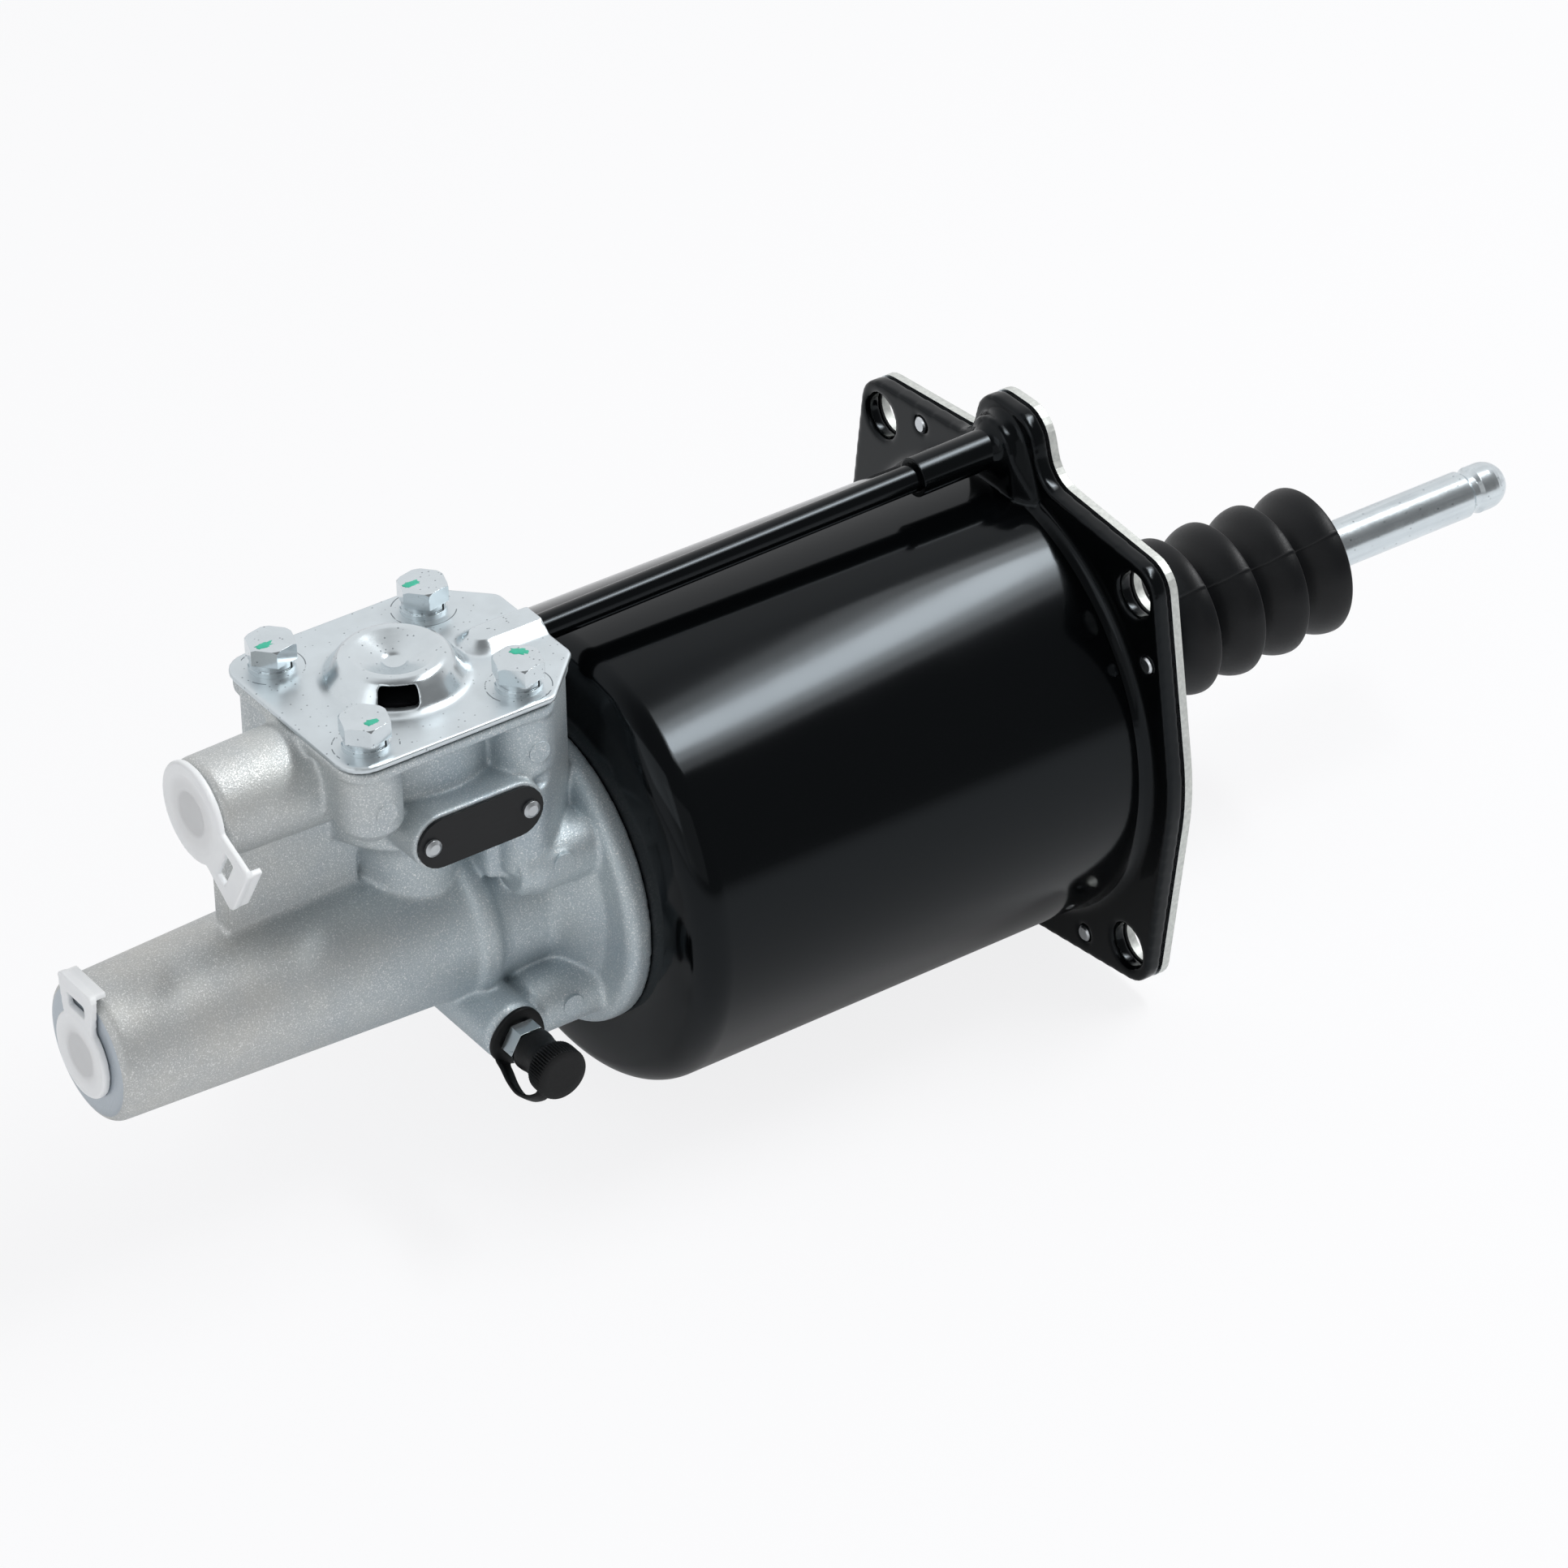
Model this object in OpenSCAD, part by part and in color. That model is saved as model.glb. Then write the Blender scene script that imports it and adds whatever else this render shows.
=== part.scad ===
// Air-hydraulic clutch servo: a pressed air cylinder with a square flange, a die-cast hydraulic and relay
// valve housing behind it, and a push rod under a rubber boot in front.
// Millimetres. X runs along the servo's axis towards the push rod, Z towards the valve cover, and the origin
// is the centre of the mounting face, which is the front face of the plated plate.

/* [Air cylinder] */
// Outer diameter of the air cylinder
can_od = 108; // [104:1:114]
// Wall of the air cylinder
can_wall = 3; // [2:0.5:3.5]
// Distance from the mounting face to the cylinder's flat end
can_length = 127.5; // [120:0.5:140]
// Radius of the rolled shoulder at the cylinder's end
can_shoulder = 8; // [6:1:12]
// Thickness of the cylinder's own flange
flange_t = 4; // [3:0.5:5]
// Thickness of the seal between flange and front plate
seal_t = 0.5; // [0.4:0.1:1]
// Thickness of the plated front plate
plate_t = 2; // [1.5:0.5:3]

/* [Mounting flange] */
// Distance between the mounting holes, both ways
bolt_pitch = 94; // [92:1:96]
// Diameter of the mounting holes
bolt_hole_d = 11; // [9:0.5:12]
// Half width of the flange across the middle of its sides
flange_half = 62; // [60:0.5:64]
// Height of the flange's air duct above the axis
duct_top = 73; // [71:0.5:76]

/* [Push rod and boot] */
// Diameter of the push rod's free end
rod_d = 11.5; // [10:0.1:12.5]
// Reach of the push rod's tip beyond the mounting face
rod_reach = 140.7; // [130:0.1:160]
// Outer diameter of the boot's crests
boot_d = 37; // [34:0.5:40]
// Distance between the boot's crests
boot_pitch = 13.1; // [12:0.1:14]
// Number of crests on the boot
boot_crests = 5; // [4:1:5]
// Wall of the boot
boot_wall = 1.5; // [1.2:0.1:2]

/* [Power piston] */
// Distance from the mounting face back to the middle of the push rod's ball
ball_x = 78; // [76:1:80]
// Diameter of the push rod's ball
ball_d = 16; // [14:0.5:17]

/* [Hydraulic cylinder] */
// Distance from the air cylinder's end to the hydraulic cylinder's end face
tube_reach = 119.2; // [116:0.1:124]
// Outer diameter of the hydraulic cylinder at its end
tube_od = 32.6; // [31:0.2:35]
// Bore of the oil chamber
oil_bore_d = 22; // [20:0.5:23]
// Diameter of the hydraulic plunger
plunger_d = 18; // [15:0.5:18.5]
// Radius of the hole for the oil inlet thread
inlet_r = 5.3; // [5:0.1:6.5]

/* [Valve housing] */
// Distance from the air cylinder's end to the relay valve's axis
valve_gap = 39; // [36.5:0.5:40.5]
// Height of the casting's top face
valve_top = 61.4; // [60:0.2:64]
// Distance between the cover screws along the servo
screw_pitch_x = 38; // [36:0.5:39]
// Distance between the cover screws across the servo
screw_pitch_y = 37; // [36:0.5:38]
// Height of the air inlet above the axis
air_z = 49; // [47:0.5:50]
// Distance from the air cylinder's end to the air inlet's end face
air_reach = 88.5; // [85:0.5:92]
// Radius of the hole for the air inlet thread
air_r = 7.2; // [6:0.1:7.5]
// Thickness of the valve cover's sheet
cover_t = 1.6; // [1.2:0.2:2]
// Travel of the relay piston
relay_travel = 2.4; // [1.5:0.1:2.8]
// Lift of the poppet valve over that travel
poppet_lift = 1.2; // [0.8:0.1:1.6]

/* [Breather pipe] */
// Outer diameter of the breather pipe
pipe_d = 6.4; // [5:0.2:6.6]
// Outer diameter of the sleeve that holds the pipe
sleeve_d = 9.2; // [8:0.2:10]

/* [Bleeder] */
// Distance from the air cylinder's end to the bleeder's axis
bleed_gap = 29.5; // [28.5:0.5:30.5]
// Depth of the bleeder's axis below the servo's axis
bleed_z = 18.5; // [17:0.5:19.5]
// Distance from the servo's axis plane to the end of the bleeder's boss
bleed_boss_y = 26.5; // [25:0.5:29]

/* [Hidden] */
$fn = 72;
eps = 0.02;
running = 0.06;
soft_gap = 0.2;

// Distances from the mounting face, behind the air cylinder
tube_end = can_length + tube_reach;
valve_x = can_length + valve_gap;
air_end = can_length + air_reach;
bleed_x = can_length + bleed_gap;

can_r = can_od / 2;
can_bore_r = can_r - can_wall;
plate_x = -plate_t;
seal_x = plate_x - seal_t;
flange_x = seal_x - flange_t;
can_end_x = -can_length;
can_inner_x = can_end_x + can_wall;
bolt_half = bolt_pitch / 2;
rivet_hole_r = 2;
rivet_at = [31.5, 52.3];

spigot_r = 17.5;
spigot_reach = 7.5;
disc_r = 36.3;
boss_circle = 26;
boss_at = boss_circle * sin(45);
boss_r = 6.9;
can_bolt_r = 4;
can_bolt_grip = 20;

rod_r = rod_d / 2;
ball_r = ball_d / 2;
rod_shoulder_x = 84.5;
rod_body_r = rod_r + 0.2;

valve_at = -valve_x;
gasket_t = 0.5;
cover_z = valve_top + gasket_t;
cover_top = cover_z + cover_t;
cover_left = valve_at - 27.7;
cover_right = valve_at + 35.3;
cover_half = 26.6;
cover_chamfer = 12.4;
screw_r = 3;
screw_washer_t = 1.2;
screw_spring_t = 1.6;
screw_head_t = 4;
screw_head_af = 10;
dome_r = 16.6;
dome_h = 6.4;

bore_x0 = -tube_end + 15.7;
gland_bore_r = 12.7;
gland_back = can_end_x - 18.5;
gland_seal_len = 5;
gland_front = can_end_x + 3.5;
plunger_r = plunger_d / 2;
piston_back = -ball_x - 20;
plunger_back = bore_x0 + 19;
piston_front = piston_back + 19.5;
web_back = piston_back + 3;
web_front = piston_back + 8;
piston_r = can_bore_r - 0.4;
seal_groove_r = can_bore_r - 5;
ring_groove_r = can_bore_r - 3;
skirt_r = can_bore_r - 7;

duct_face_x = flange_x - 4;
pipe_start_x = valve_at + 22;
pipe_z = valve_top - 0.4;
pipe_high_z = 63.5;
pipe_rise = atan2(pipe_high_z - pipe_z, duct_face_x - pipe_start_x);
pipe_r = pipe_d / 2;
sleeve_r = sleeve_d / 2;
sleeve_back = -31.5;

function unit(v) = v / norm(v);
function arc(cx, cy, r, from, to, n = 8) =
    [for (i = [0:n]) let (a = from + (to - from) * i / n) [cx + r * cos(a), cy + r * sin(a)]];
function turn(a) = a > 180 ? a - 360 : (a < -180 ? a + 360 : a);
function corner(p, q, s, n) =
    let (a = unit([p.x - q.x, p.y - q.y]),
         b = unit([s.x - q.x, s.y - q.y]),
         half = acos(a * b) / 2,
         c = [q.x, q.y] + unit(a + b) * q.z / sin(half),
         first = [q.x, q.y] + a * q.z / tan(half) - c,
         last = [q.x, q.y] + b * q.z / tan(half) - c,
         from = atan2(first.y, first.x),
         sweep = turn(atan2(last.y, last.x) - from))
    q.z == 0 ? [[q.x, q.y]] : arc(c.x, c.y, q.z, from, from + sweep, n);
function rounded(pts, n = 6) =
    [for (i = [0:len(pts) - 1])
        each corner(pts[(i + len(pts) - 1) % len(pts)], pts[i], pts[(i + 1) % len(pts)], n)];

// A revolve about the servo's axis: each point is [radius, x]
module lathe(points) rotate([0, 90, 0]) rotate_extrude() polygon(points);

// A revolve about an upright axis: each point is [radius, z]
module upright(points, x = valve_at) translate([x, 0, 0]) rotate_extrude() polygon(points);

// A plain round bar from x0 to x1
module bar_x(r, x0, x1, y = 0, z = 0, r1 = undef) {
    translate([x0, y, z]) rotate([0, 90, 0]) cylinder(r1 = r, r2 = is_undef(r1) ? r : r1, h = x1 - x0);
}

// A round bar along the breather pipe's own axis, between two distances from the mounting face
module along_pipe(r, x0, x1) {
    translate([pipe_start_x, 0, pipe_z]) rotate([0, -pipe_rise, 0]) bar_x(r, x0 - pipe_start_x, x1 - pipe_start_x);
}

// A plain round bar that points away from the middle plane towards -Y
module bar_y(r, y0, y1, x = 0, z = 0, r1 = undef) {
    translate([x, -y0, z]) rotate([90, 0, 0]) cylinder(r1 = r, r2 = is_undef(r1) ? r : r1, h = y1 - y0);
}

module at_flange_holes() for (y = [-1, 1], z = [-1, 1]) translate([0, y * bolt_half, z * bolt_half]) children();
module at_quarters() for (i = [0:3]) rotate([90 * i, 0, 0]) translate([0, rivet_at.x, rivet_at.y]) children();
module at_cover_screws() for (i = [-1, 1], j = [-1, 1])
    translate([valve_at + i * screw_pitch_x / 2, j * screw_pitch_y / 2, 0]) children();
module at_disc_bolts() for (y = [-1, 1], z = [-1, 1]) translate([0, y * boss_at, z * boss_at]) children();

// Outline of the flange as [y, z]: a square with bowed sides, ears round its holes and the air duct on top
function flange_outline(grow = 0) =
    let (e = bolt_half + 6.8 + grow, u = bolt_half + 8 + grow, h = flange_half + grow, t = duct_top + grow, d = 9 + grow)
    rounded([[-d, t, 8], [-d - 4, 58.4 + grow, 8], [-e, u, 7.5], [-h, 0, 60], [-e, -u, 7.5], [0, -h, 60],
             [e, -u, 7.5], [h, 0, 60], [e, u, 7.5], [d + 4, 58.4 + grow, 8], [d, t, 8]]);
module flange_slab(x0, t, grow = 0) {
    translate([x0, 0, 0]) rotate([90, 0, 90]) linear_extrude(t) polygon(flange_outline(grow));
}

// Air cylinder
module can_shell() {
    // The end is slightly domed between the shoulder and the flat that the housing bolts to
    dome_sweep = 72;
    shoulder_x = can_end_x + can_shoulder + 1;
    lathe(concat(
        [[can_bore_r, seal_x], [can_r, seal_x]],
        arc(can_r - can_shoulder, shoulder_x, can_shoulder, 0, -dome_sweep),
        [[disc_r + 1.5, can_end_x], [spigot_r + running, can_end_x], [spigot_r + running, can_inner_x], [disc_r + 1, can_inner_x]],
        arc(can_r - can_shoulder, shoulder_x, can_shoulder - can_wall, -dome_sweep, 0)));
    // Weld fillet where the cylinder meets its flange
    lathe([[can_r - eps, flange_x - 2.4], [can_r + 0.7, flange_x - 0.7], [can_r + 2.4, flange_x + eps], [can_r - eps, flange_x + eps]]);
}
module air_cylinder() color([0.03, 0.03, 0.035]) difference() {
    union() {
        can_shell();
        difference() {
            flange_slab(flange_x, flange_t);
            bar_x(can_r - eps, flange_x - 1, seal_x + 1);
        }
        // Pressed pocket that carries the breathing air from the sleeve into the front chamber
        difference() {
            hull() {
                bar_x(9.5, flange_x, flange_x + 0.5, z = 61.5, $fn = 32);
                bar_x(15, flange_x, flange_x + 0.5, z = 47, $fn = 32);
                bar_x(6.8, duct_face_x, duct_face_x + 0.5, z = 63, $fn = 32);
                bar_x(9, duct_face_x, duct_face_x + 0.5, z = 49, $fn = 32);
            }
            bar_x(can_bore_r + 1.5, duct_face_x - 1, seal_x + 1);
        }
    }
    translate([seal_x - 6.5, 0, 0]) rotate([90, 0, 90])
        linear_extrude(7) polygon(rounded([[-4.5, 47, 0], [4.5, 47, 0], [4.5, 68, 4], [-4.5, 68, 4]]));
    along_pipe(sleeve_r, duct_face_x - 1, seal_x - 4);
    at_flange_holes() bar_x(bolt_hole_d / 2, flange_x - 1, seal_x + 1);
    at_quarters() bar_x(rivet_hole_r, flange_x - 1, seal_x + 1);
    at_disc_bolts() bar_x(can_bolt_r + 0.4, can_end_x - 1, can_inner_x + 1);
    bar_x(3.4, can_end_x - 1, can_inner_x + 1, z = delivery_z);
}
module pipe_sleeve() color([0.03, 0.03, 0.035]) difference() {
    along_pipe(sleeve_r, sleeve_back, seal_x - 4.5);
    along_pipe(pipe_r, sleeve_back - 1, 0);
}

// Front plate and its seal
module flange_seal() color([0.1, 0.1, 0.1]) difference() {
    flange_slab(seal_x, seal_t, -0.8);
    bar_x(can_bore_r, seal_x - 1, plate_x + 1);
    translate([seal_x - 1, 0, 0]) rotate([90, 0, 90])
        linear_extrude(seal_t + 2) polygon(rounded([[-4.5, 47, 0], [4.5, 47, 0], [4.5, 68, 4], [-4.5, 68, 4]]));
    at_flange_holes() bar_x(bolt_hole_d / 2, seal_x - 1, plate_x + 1);
    at_quarters() bar_x(rivet_hole_r, seal_x - 1, plate_x + 1);
}
collar_r = 20;
collar_h = 6;
module front_plate() color([0.72, 0.74, 0.76]) difference() {
    union() {
        flange_slab(plate_x, plate_t);
        lathe([[collar_r - 2, plate_x], [collar_r, plate_x], [collar_r, collar_h - 1.5],
               [collar_r + 0.8, collar_h], [collar_r - 2, collar_h]]);
    }
    // Recess that the boot's lip sits in, so that the mounting face stays clear
    lathe([[collar_r, -0.5], [collar_r + 3.6, -0.5], [collar_r + 4.1, eps], [collar_r, eps]]);
    bar_x(collar_r - 2, plate_x - 1, collar_h + 1);
    at_flange_holes() bar_x(bolt_hole_d / 2, plate_x - 1, 1);
    at_quarters() bar_x(rivet_hole_r, plate_x - 1, 1);
}
// Countersunk rivets hold plate, seal and flange together until the servo is bolted on
module plate_rivets() color([0.75, 0.77, 0.78]) for (i = [0:3]) rotate([90 * i, 0, 0])
    translate([0, rivet_at.x, rivet_at.y]) {
        bar_x(rivet_hole_r - running, flange_x, -0.1);
        bar_x(rivet_hole_r - 0.5, flange_x - 0.4, flange_x, r1 = rivet_hole_r - running);
    }

// Rubber boot: each crest flares towards +X to a thin rim and drops back into a groove
boot_root_r = boot_d / 2 - 6.4;
boot_end_x = 81;
boot_first_x = boot_end_x - (boot_crests - 1) * boot_pitch;
function crest(x, r, inset) =
    concat([for (i = [0:6]) let (t = i / 6)
            [boot_root_r + (r - boot_root_r) * sin(90 * t) - inset, x - boot_pitch * 0.74 * (1 - t) + inset * 0.5]],
        [[r - 0.3 - inset, x + 0.9 - inset * 0.9], [boot_root_r + 1.1 - inset, x + 1.7 - inset * 0.4]]);
function crest_r(i) = boot_d / 2 + 0.8 - 1.5 * i / (boot_crests - 1);
module dust_boot() color([0.06, 0.065, 0.075]) {
    lathe(concat(
        [[collar_r + 0.1, -0.3], [collar_r + 2.6, -0.3], [collar_r + 2.6, collar_h + 1.2],
         [boot_root_r + 5.5, collar_h + 3.6], [boot_root_r + 1.8, collar_h + 6], [boot_root_r, collar_h + 7.5]],
        [for (i = [0:boot_crests - 2]) each crest(boot_first_x + i * boot_pitch, crest_r(i), 0)],
        [for (p = crest(boot_end_x, crest_r(boot_crests - 1), 0)) if (p.y < boot_end_x + 0.5) p],
        [[crest_r(boot_crests - 1) - 1.2, boot_end_x + 0.2], [boot_root_r - 0.5, boot_end_x - 7.5],
         [rod_body_r + soft_gap, boot_end_x - 6.5], [rod_body_r + soft_gap, boot_end_x - 10.5],
         [boot_root_r - boot_wall, boot_end_x - 11]],
        [for (i = [boot_crests - 2:-1:0]) each reversed(crest(boot_first_x + i * boot_pitch, crest_r(i), boot_wall))],
        [[boot_root_r - boot_wall, collar_h + 7.8], [boot_root_r + 0.3, collar_h + 4.9], [boot_root_r + 4.4, collar_h + 2.2],
         [collar_r + 0.95, collar_h + 0.1], [collar_r + 0.9, collar_h - 0.1],
         [collar_r + 0.1, collar_h - 1.5]]));
}
function reversed(list) = [for (i = [len(list) - 1:-1:0]) list[i]];

// Push rod, with its ball in the power piston's socket
module push_rod() color([0.74, 0.76, 0.78]) {
    neck_x = rod_reach - 12.6;
    lathe(concat(
        [for (a = [0:6]) [ball_r * sin(30 * a * 0.79), -ball_x - ball_r * cos(30 * a * 0.79)]],
        [[rod_body_r, -ball_x + ball_r - 0.8], [rod_body_r, rod_shoulder_x], [rod_r, rod_shoulder_x],
         [rod_r, neck_x], [rod_r - 0.7, neck_x + 1], [rod_r - 0.7, neck_x + 2.6], [rod_r, neck_x + 3.6],
         [rod_r, rod_reach - rod_r]],
        arc(0, rod_reach - rod_r, rod_r, 10, 90)));
}

// Power piston, its seal, guide ring and the retainer of the push rod's ball
socket_r = ball_r + running;
hub_r = 14;
module power_piston() color([0.62, 0.63, 0.65]) difference() {
    union() {
        lathe([[0, piston_back + 1], [hub_r, piston_back + 1], [hub_r, web_back], [skirt_r, web_back], [skirt_r, piston_back],
               [piston_r, piston_back], [piston_r, piston_back + 2.5], [seal_groove_r, piston_back + 2.5],
               [seal_groove_r, piston_back + 9.5], [piston_r, piston_back + 9.5], [piston_r, piston_back + 12],
               [ring_groove_r, piston_back + 12], [ring_groove_r, piston_back + 17], [piston_r, piston_back + 17],
               [piston_r, piston_front], [skirt_r, piston_front], [skirt_r - 1.5, web_front], [hub_r + 1.5, web_front],
               [hub_r, web_front + 1.5], [hub_r, -ball_x + ball_r - 1.5], [0, -ball_x + ball_r - 1.5]]);
        // Ribs from the hub to the skirt
        for (i = [0:5]) rotate([60 * i, 0, 0]) translate([web_front - eps, -2, hub_r - 1])
            rotate([90, 0, 90]) linear_extrude(4.5) square([4, skirt_r - 1 - hub_r]);
    }
    translate([-ball_x, 0, 0]) sphere(r = socket_r);
    bar_x(socket_r, -ball_x, -ball_x + ball_r);
    bar_x(hub_r - 3, -ball_x + 2.5, -ball_x + ball_r);
}
module rod_retainer() color([0.86, 0.86, 0.82]) difference() {
    bar_x(hub_r - 3 - running, -ball_x + 2.6, -ball_x + ball_r - 1.6);
    translate([-ball_x, 0, 0]) sphere(r = socket_r);
    bar_x(rod_body_r + 0.6, -ball_x, -ball_x + ball_r, r1 = rod_body_r + 1.2);
}
module piston_lip_seal() color([0.07, 0.07, 0.08]) lathe([[seal_groove_r, piston_back + 2.6], [piston_r - 0.4, piston_back + 2.6],
    [can_bore_r - 0.1, piston_back + 3.4], [can_bore_r - 0.1, piston_back + 4.4], [can_bore_r - 2, piston_back + 7],
    [can_bore_r - 2, piston_back + 9.4], [seal_groove_r, piston_back + 9.4]]);
module piston_guide_ring() color([0.88, 0.86, 0.78]) lathe([[ring_groove_r, piston_back + 12], [can_bore_r - running, piston_back + 12],
    [can_bore_r - running, piston_back + 17], [ring_groove_r, piston_back + 17]]);

// A coil spring about the axis that children's frame gives, as a tube swept along a helix
module coil(r0, r1, height, turns, wire_r, steps = 18) {
    n = ceil(turns * steps);
    sides = 8;
    ring = function(i) let (t = i / n, a = 360 * turns * t, r = r0 + (r1 - r0) * t, z = height * t)
        [for (k = [0:sides - 1]) let (b = 360 * k / sides, d = r + wire_r * cos(b)) [d * cos(a), d * sin(a), z + wire_r * sin(b)]];
    points = [for (i = [0:n]) each ring(i)];
    sidewalls = [for (i = [0:n - 1], k = [0:sides - 1]) let (a = i * sides + k, b = i * sides + (k + 1) % sides)
        each [[a, a + sides, b], [b, a + sides, b + sides]]];
    caps = [[for (k = [0:sides - 1]) k], [for (k = [sides - 1:-1:0]) n * sides + k]];
    polyhedron(points, concat(sidewalls, caps));
}
spring_wire_r = 1.9;
spring_room = web_back - can_inner_x;
module preload_spring() color([0.35, 0.36, 0.38]) translate([can_inner_x + spring_wire_r + 0.6, 0, 0]) rotate([0, 90, 0])
    coil(can_bore_r - 11, can_bore_r - 18, spring_room - 2 * spring_wire_r - 0.8, 3, spring_wire_r);

// Hydraulic plunger and its gland in the housing's spigot
module hydraulic_plunger() color([0.7, 0.72, 0.74]) lathe([[0, plunger_back], [plunger_r - 1.5, plunger_back],
    [plunger_r, plunger_back + 1.5], [plunger_r, piston_back - 1], [plunger_r - 2, piston_back + 1], [0, piston_back + 1]]);
module gland_bush() color([0.78, 0.62, 0.3]) lathe([[plunger_r + running, gland_back + gland_seal_len],
    [gland_bore_r, gland_back + gland_seal_len], [gland_bore_r, gland_front], [plunger_r + running, gland_front]]);
module gland_seal() color([0.08, 0.08, 0.09]) lathe([[plunger_r + soft_gap, gland_back + 0.1], [plunger_r + 1.2, gland_back + 0.1],
    [plunger_r + 1.8, gland_back + 2.6], [gland_bore_r - 1, gland_back + 2.6], [gland_bore_r - 0.6, gland_back + 0.1],
    [gland_bore_r, gland_back + 0.1], [gland_bore_r, gland_back + gland_seal_len], [plunger_r + soft_gap, gland_back + gland_seal_len]]);
circlip_r = gland_bore_r + 1;
module gland_circlip() color([0.3, 0.3, 0.32]) difference() {
    lathe([[gland_bore_r - 2, gland_front], [circlip_r, gland_front], [circlip_r, gland_front + 1.2], [gland_bore_r - 2, gland_front + 1.2]]);
    translate([gland_front - 1, -3, 0]) cube([4, 6, circlip_r + 1]);
}
module spigot_seal() color([0.08, 0.08, 0.09]) rotate([0, 90, 0]) translate([0, 0, can_end_x - 0.8])
    rotate_extrude() translate([spigot_r + 1, 0]) circle(r = 0.8, $fn = 24);
module cylinder_bolts() color([0.7, 0.72, 0.74]) at_disc_bolts() {
    bar_x(can_bolt_r - running, can_inner_x - can_bolt_grip, can_inner_x + 0.5);
    bar_x(8.2, can_inner_x, can_inner_x + 1.2);
    bar_x(7.5, can_inner_x + 1.2, can_inner_x + 5.2, $fn = 6);
}

// Valve housing: hydraulic cylinder, disc flange, bosses and relay valve body in one casting
tube_slope = 0.0345;
function tube_r(x) = tube_od / 2 + (x + tube_end) * tube_slope;
collar_x = can_end_x - 30;
neck_r = 19;
delivery_z = 30;
relay_bore_r = 14.4;
relay_floor = 33;
pilot_r = 5;
seat_z = 44.5;
guide_z = 53;
chamber_r = 13;
body_foot = 31;
lip_z = valve_top - 2.6;
screw_boss_r = 7.2;
screw_boss_z = 41;

module tube_and_disc() {
    lathe(concat(
        [[0, -tube_end]], arc(tube_od / 2 - 2.6, -tube_end + 2.6, 2.6, -90, 0, 6), [[tube_r(collar_x - 6), collar_x - 6]],
        [for (a = [-60:20:60]) [tube_r(collar_x - 6) + 3.1 * cos(a) - 1.2, collar_x + 3.6 * sin(a)]],
        [[neck_r, collar_x + 5.5], [neck_r, can_end_x - 14.5], [neck_r + 1, can_end_x - 12.5], [28.5, can_end_x - 6.4],
         [32.8, can_end_x - 5.8]],
        arc(disc_r - 3, can_end_x - 2.8, 3, -80, 0, 5),
        [[disc_r, can_end_x], [spigot_r, can_end_x], [spigot_r, can_end_x + spigot_reach - 0.8],
         [spigot_r - 0.8, can_end_x + spigot_reach], [0, can_end_x + spigot_reach]]));
}
module bolt_bosses() {
    for (y = [-1, 1], z = [-1, 1]) {
        back = can_end_x - (z > 0 ? 24.5 : 20.5);
        translate([0, y * boss_at, z * boss_at]) {
            bar_x(boss_r, back + 1.4, can_end_x);
            bar_x(boss_r - 1.4, back, back + 1.4, r1 = boss_r);
        }
    }
}
// Lip outline and cover outline as [x, y]
function cover_outline(inset) =
    let (l = cover_left + inset, r = cover_right - inset, h = cover_half - inset, c = cover_chamfer)
    rounded([[l, -h, 6.5], [r - c, -h, 3], [r, -h + c, 3], [r, h - c, 3], [r - c, h, 3], [l, h, 6.5]]);
module valve_body() {
    // Lip under the cover, the flaring round chamber and its lower barrel
    translate([0, 0, lip_z]) linear_extrude(valve_top - lip_z) polygon(cover_outline(0.5));
    upright(concat([[0, 12], [12.6, 12], [12.8, 24]], arc(20, 24, 7.2, 180, 110, 6), [[20, body_foot + 1.2], [20.6, lip_z + 1], [0, lip_z + 1]]));
    at_cover_screws() {
        translate([0, 0, screw_boss_z + 4]) cylinder(r = screw_boss_r, h = valve_top - screw_boss_z - 4.5);
        translate([0, 0, screw_boss_z]) cylinder(r1 = screw_boss_r - 4, r2 = screw_boss_r, h = 4);
    }
}
module servo_web() {
    // Wall between the screw bosses at the air inlet, and the rib down to the hydraulic cylinder
    translate([cover_left + 2, -18, screw_boss_z + 4]) cube([14, 36, lip_z - screw_boss_z - 3]);
    translate([-air_end + 4, -3, 14]) cube([32, 6, 28]);
    // Block that joins the relay valve to the disc
    translate([0, 0, 16]) linear_extrude(lip_z - 15) polygon(rounded([[valve_at + 10.5, -16, 2], [valve_at + 22.5, -23.8, 4],
        [cover_right - 0.8, -13, 3], [cover_right - 0.8, 13, 3], [valve_at + 22.5, 23.8, 4], [valve_at + 10.5, 16, 2]]));
}
module pads_and_ports() {
    // Air inlet boss
    bar_x(11.5, -air_end + 1.2, valve_at - 13.5, z = air_z, r1 = 12.3);
    bar_x(10.3, -air_end, -air_end + 1.2, z = air_z, r1 = 11.5);
    // Bleeder boss
    bar_y(7, 0, bleed_boss_y - 1.5, x = -bleed_x, z = -bleed_z);
    bar_y(7, bleed_boss_y - 1.5, bleed_boss_y, x = -bleed_x, z = -bleed_z, r1 = 5.8);
    // Pad under the data plate
    translate([pad_x, -12, pad_z]) rotate([90, 0, 0]) linear_extrude(pad_y - 12) stadium(pad_len + 1.6, pad_h + 1.6);
}
pad_x = valve_at + 2.5;
pad_z = 39;
pad_y = 27;
pad_len = 31.2;
pad_h = 12;
module stadium(l, h) {
    polygon(concat(arc((l - h) / 2, 0, h / 2, -90, 90, 12), arc(-(l - h) / 2, 0, h / 2, 90, 270, 12)));
}
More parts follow.
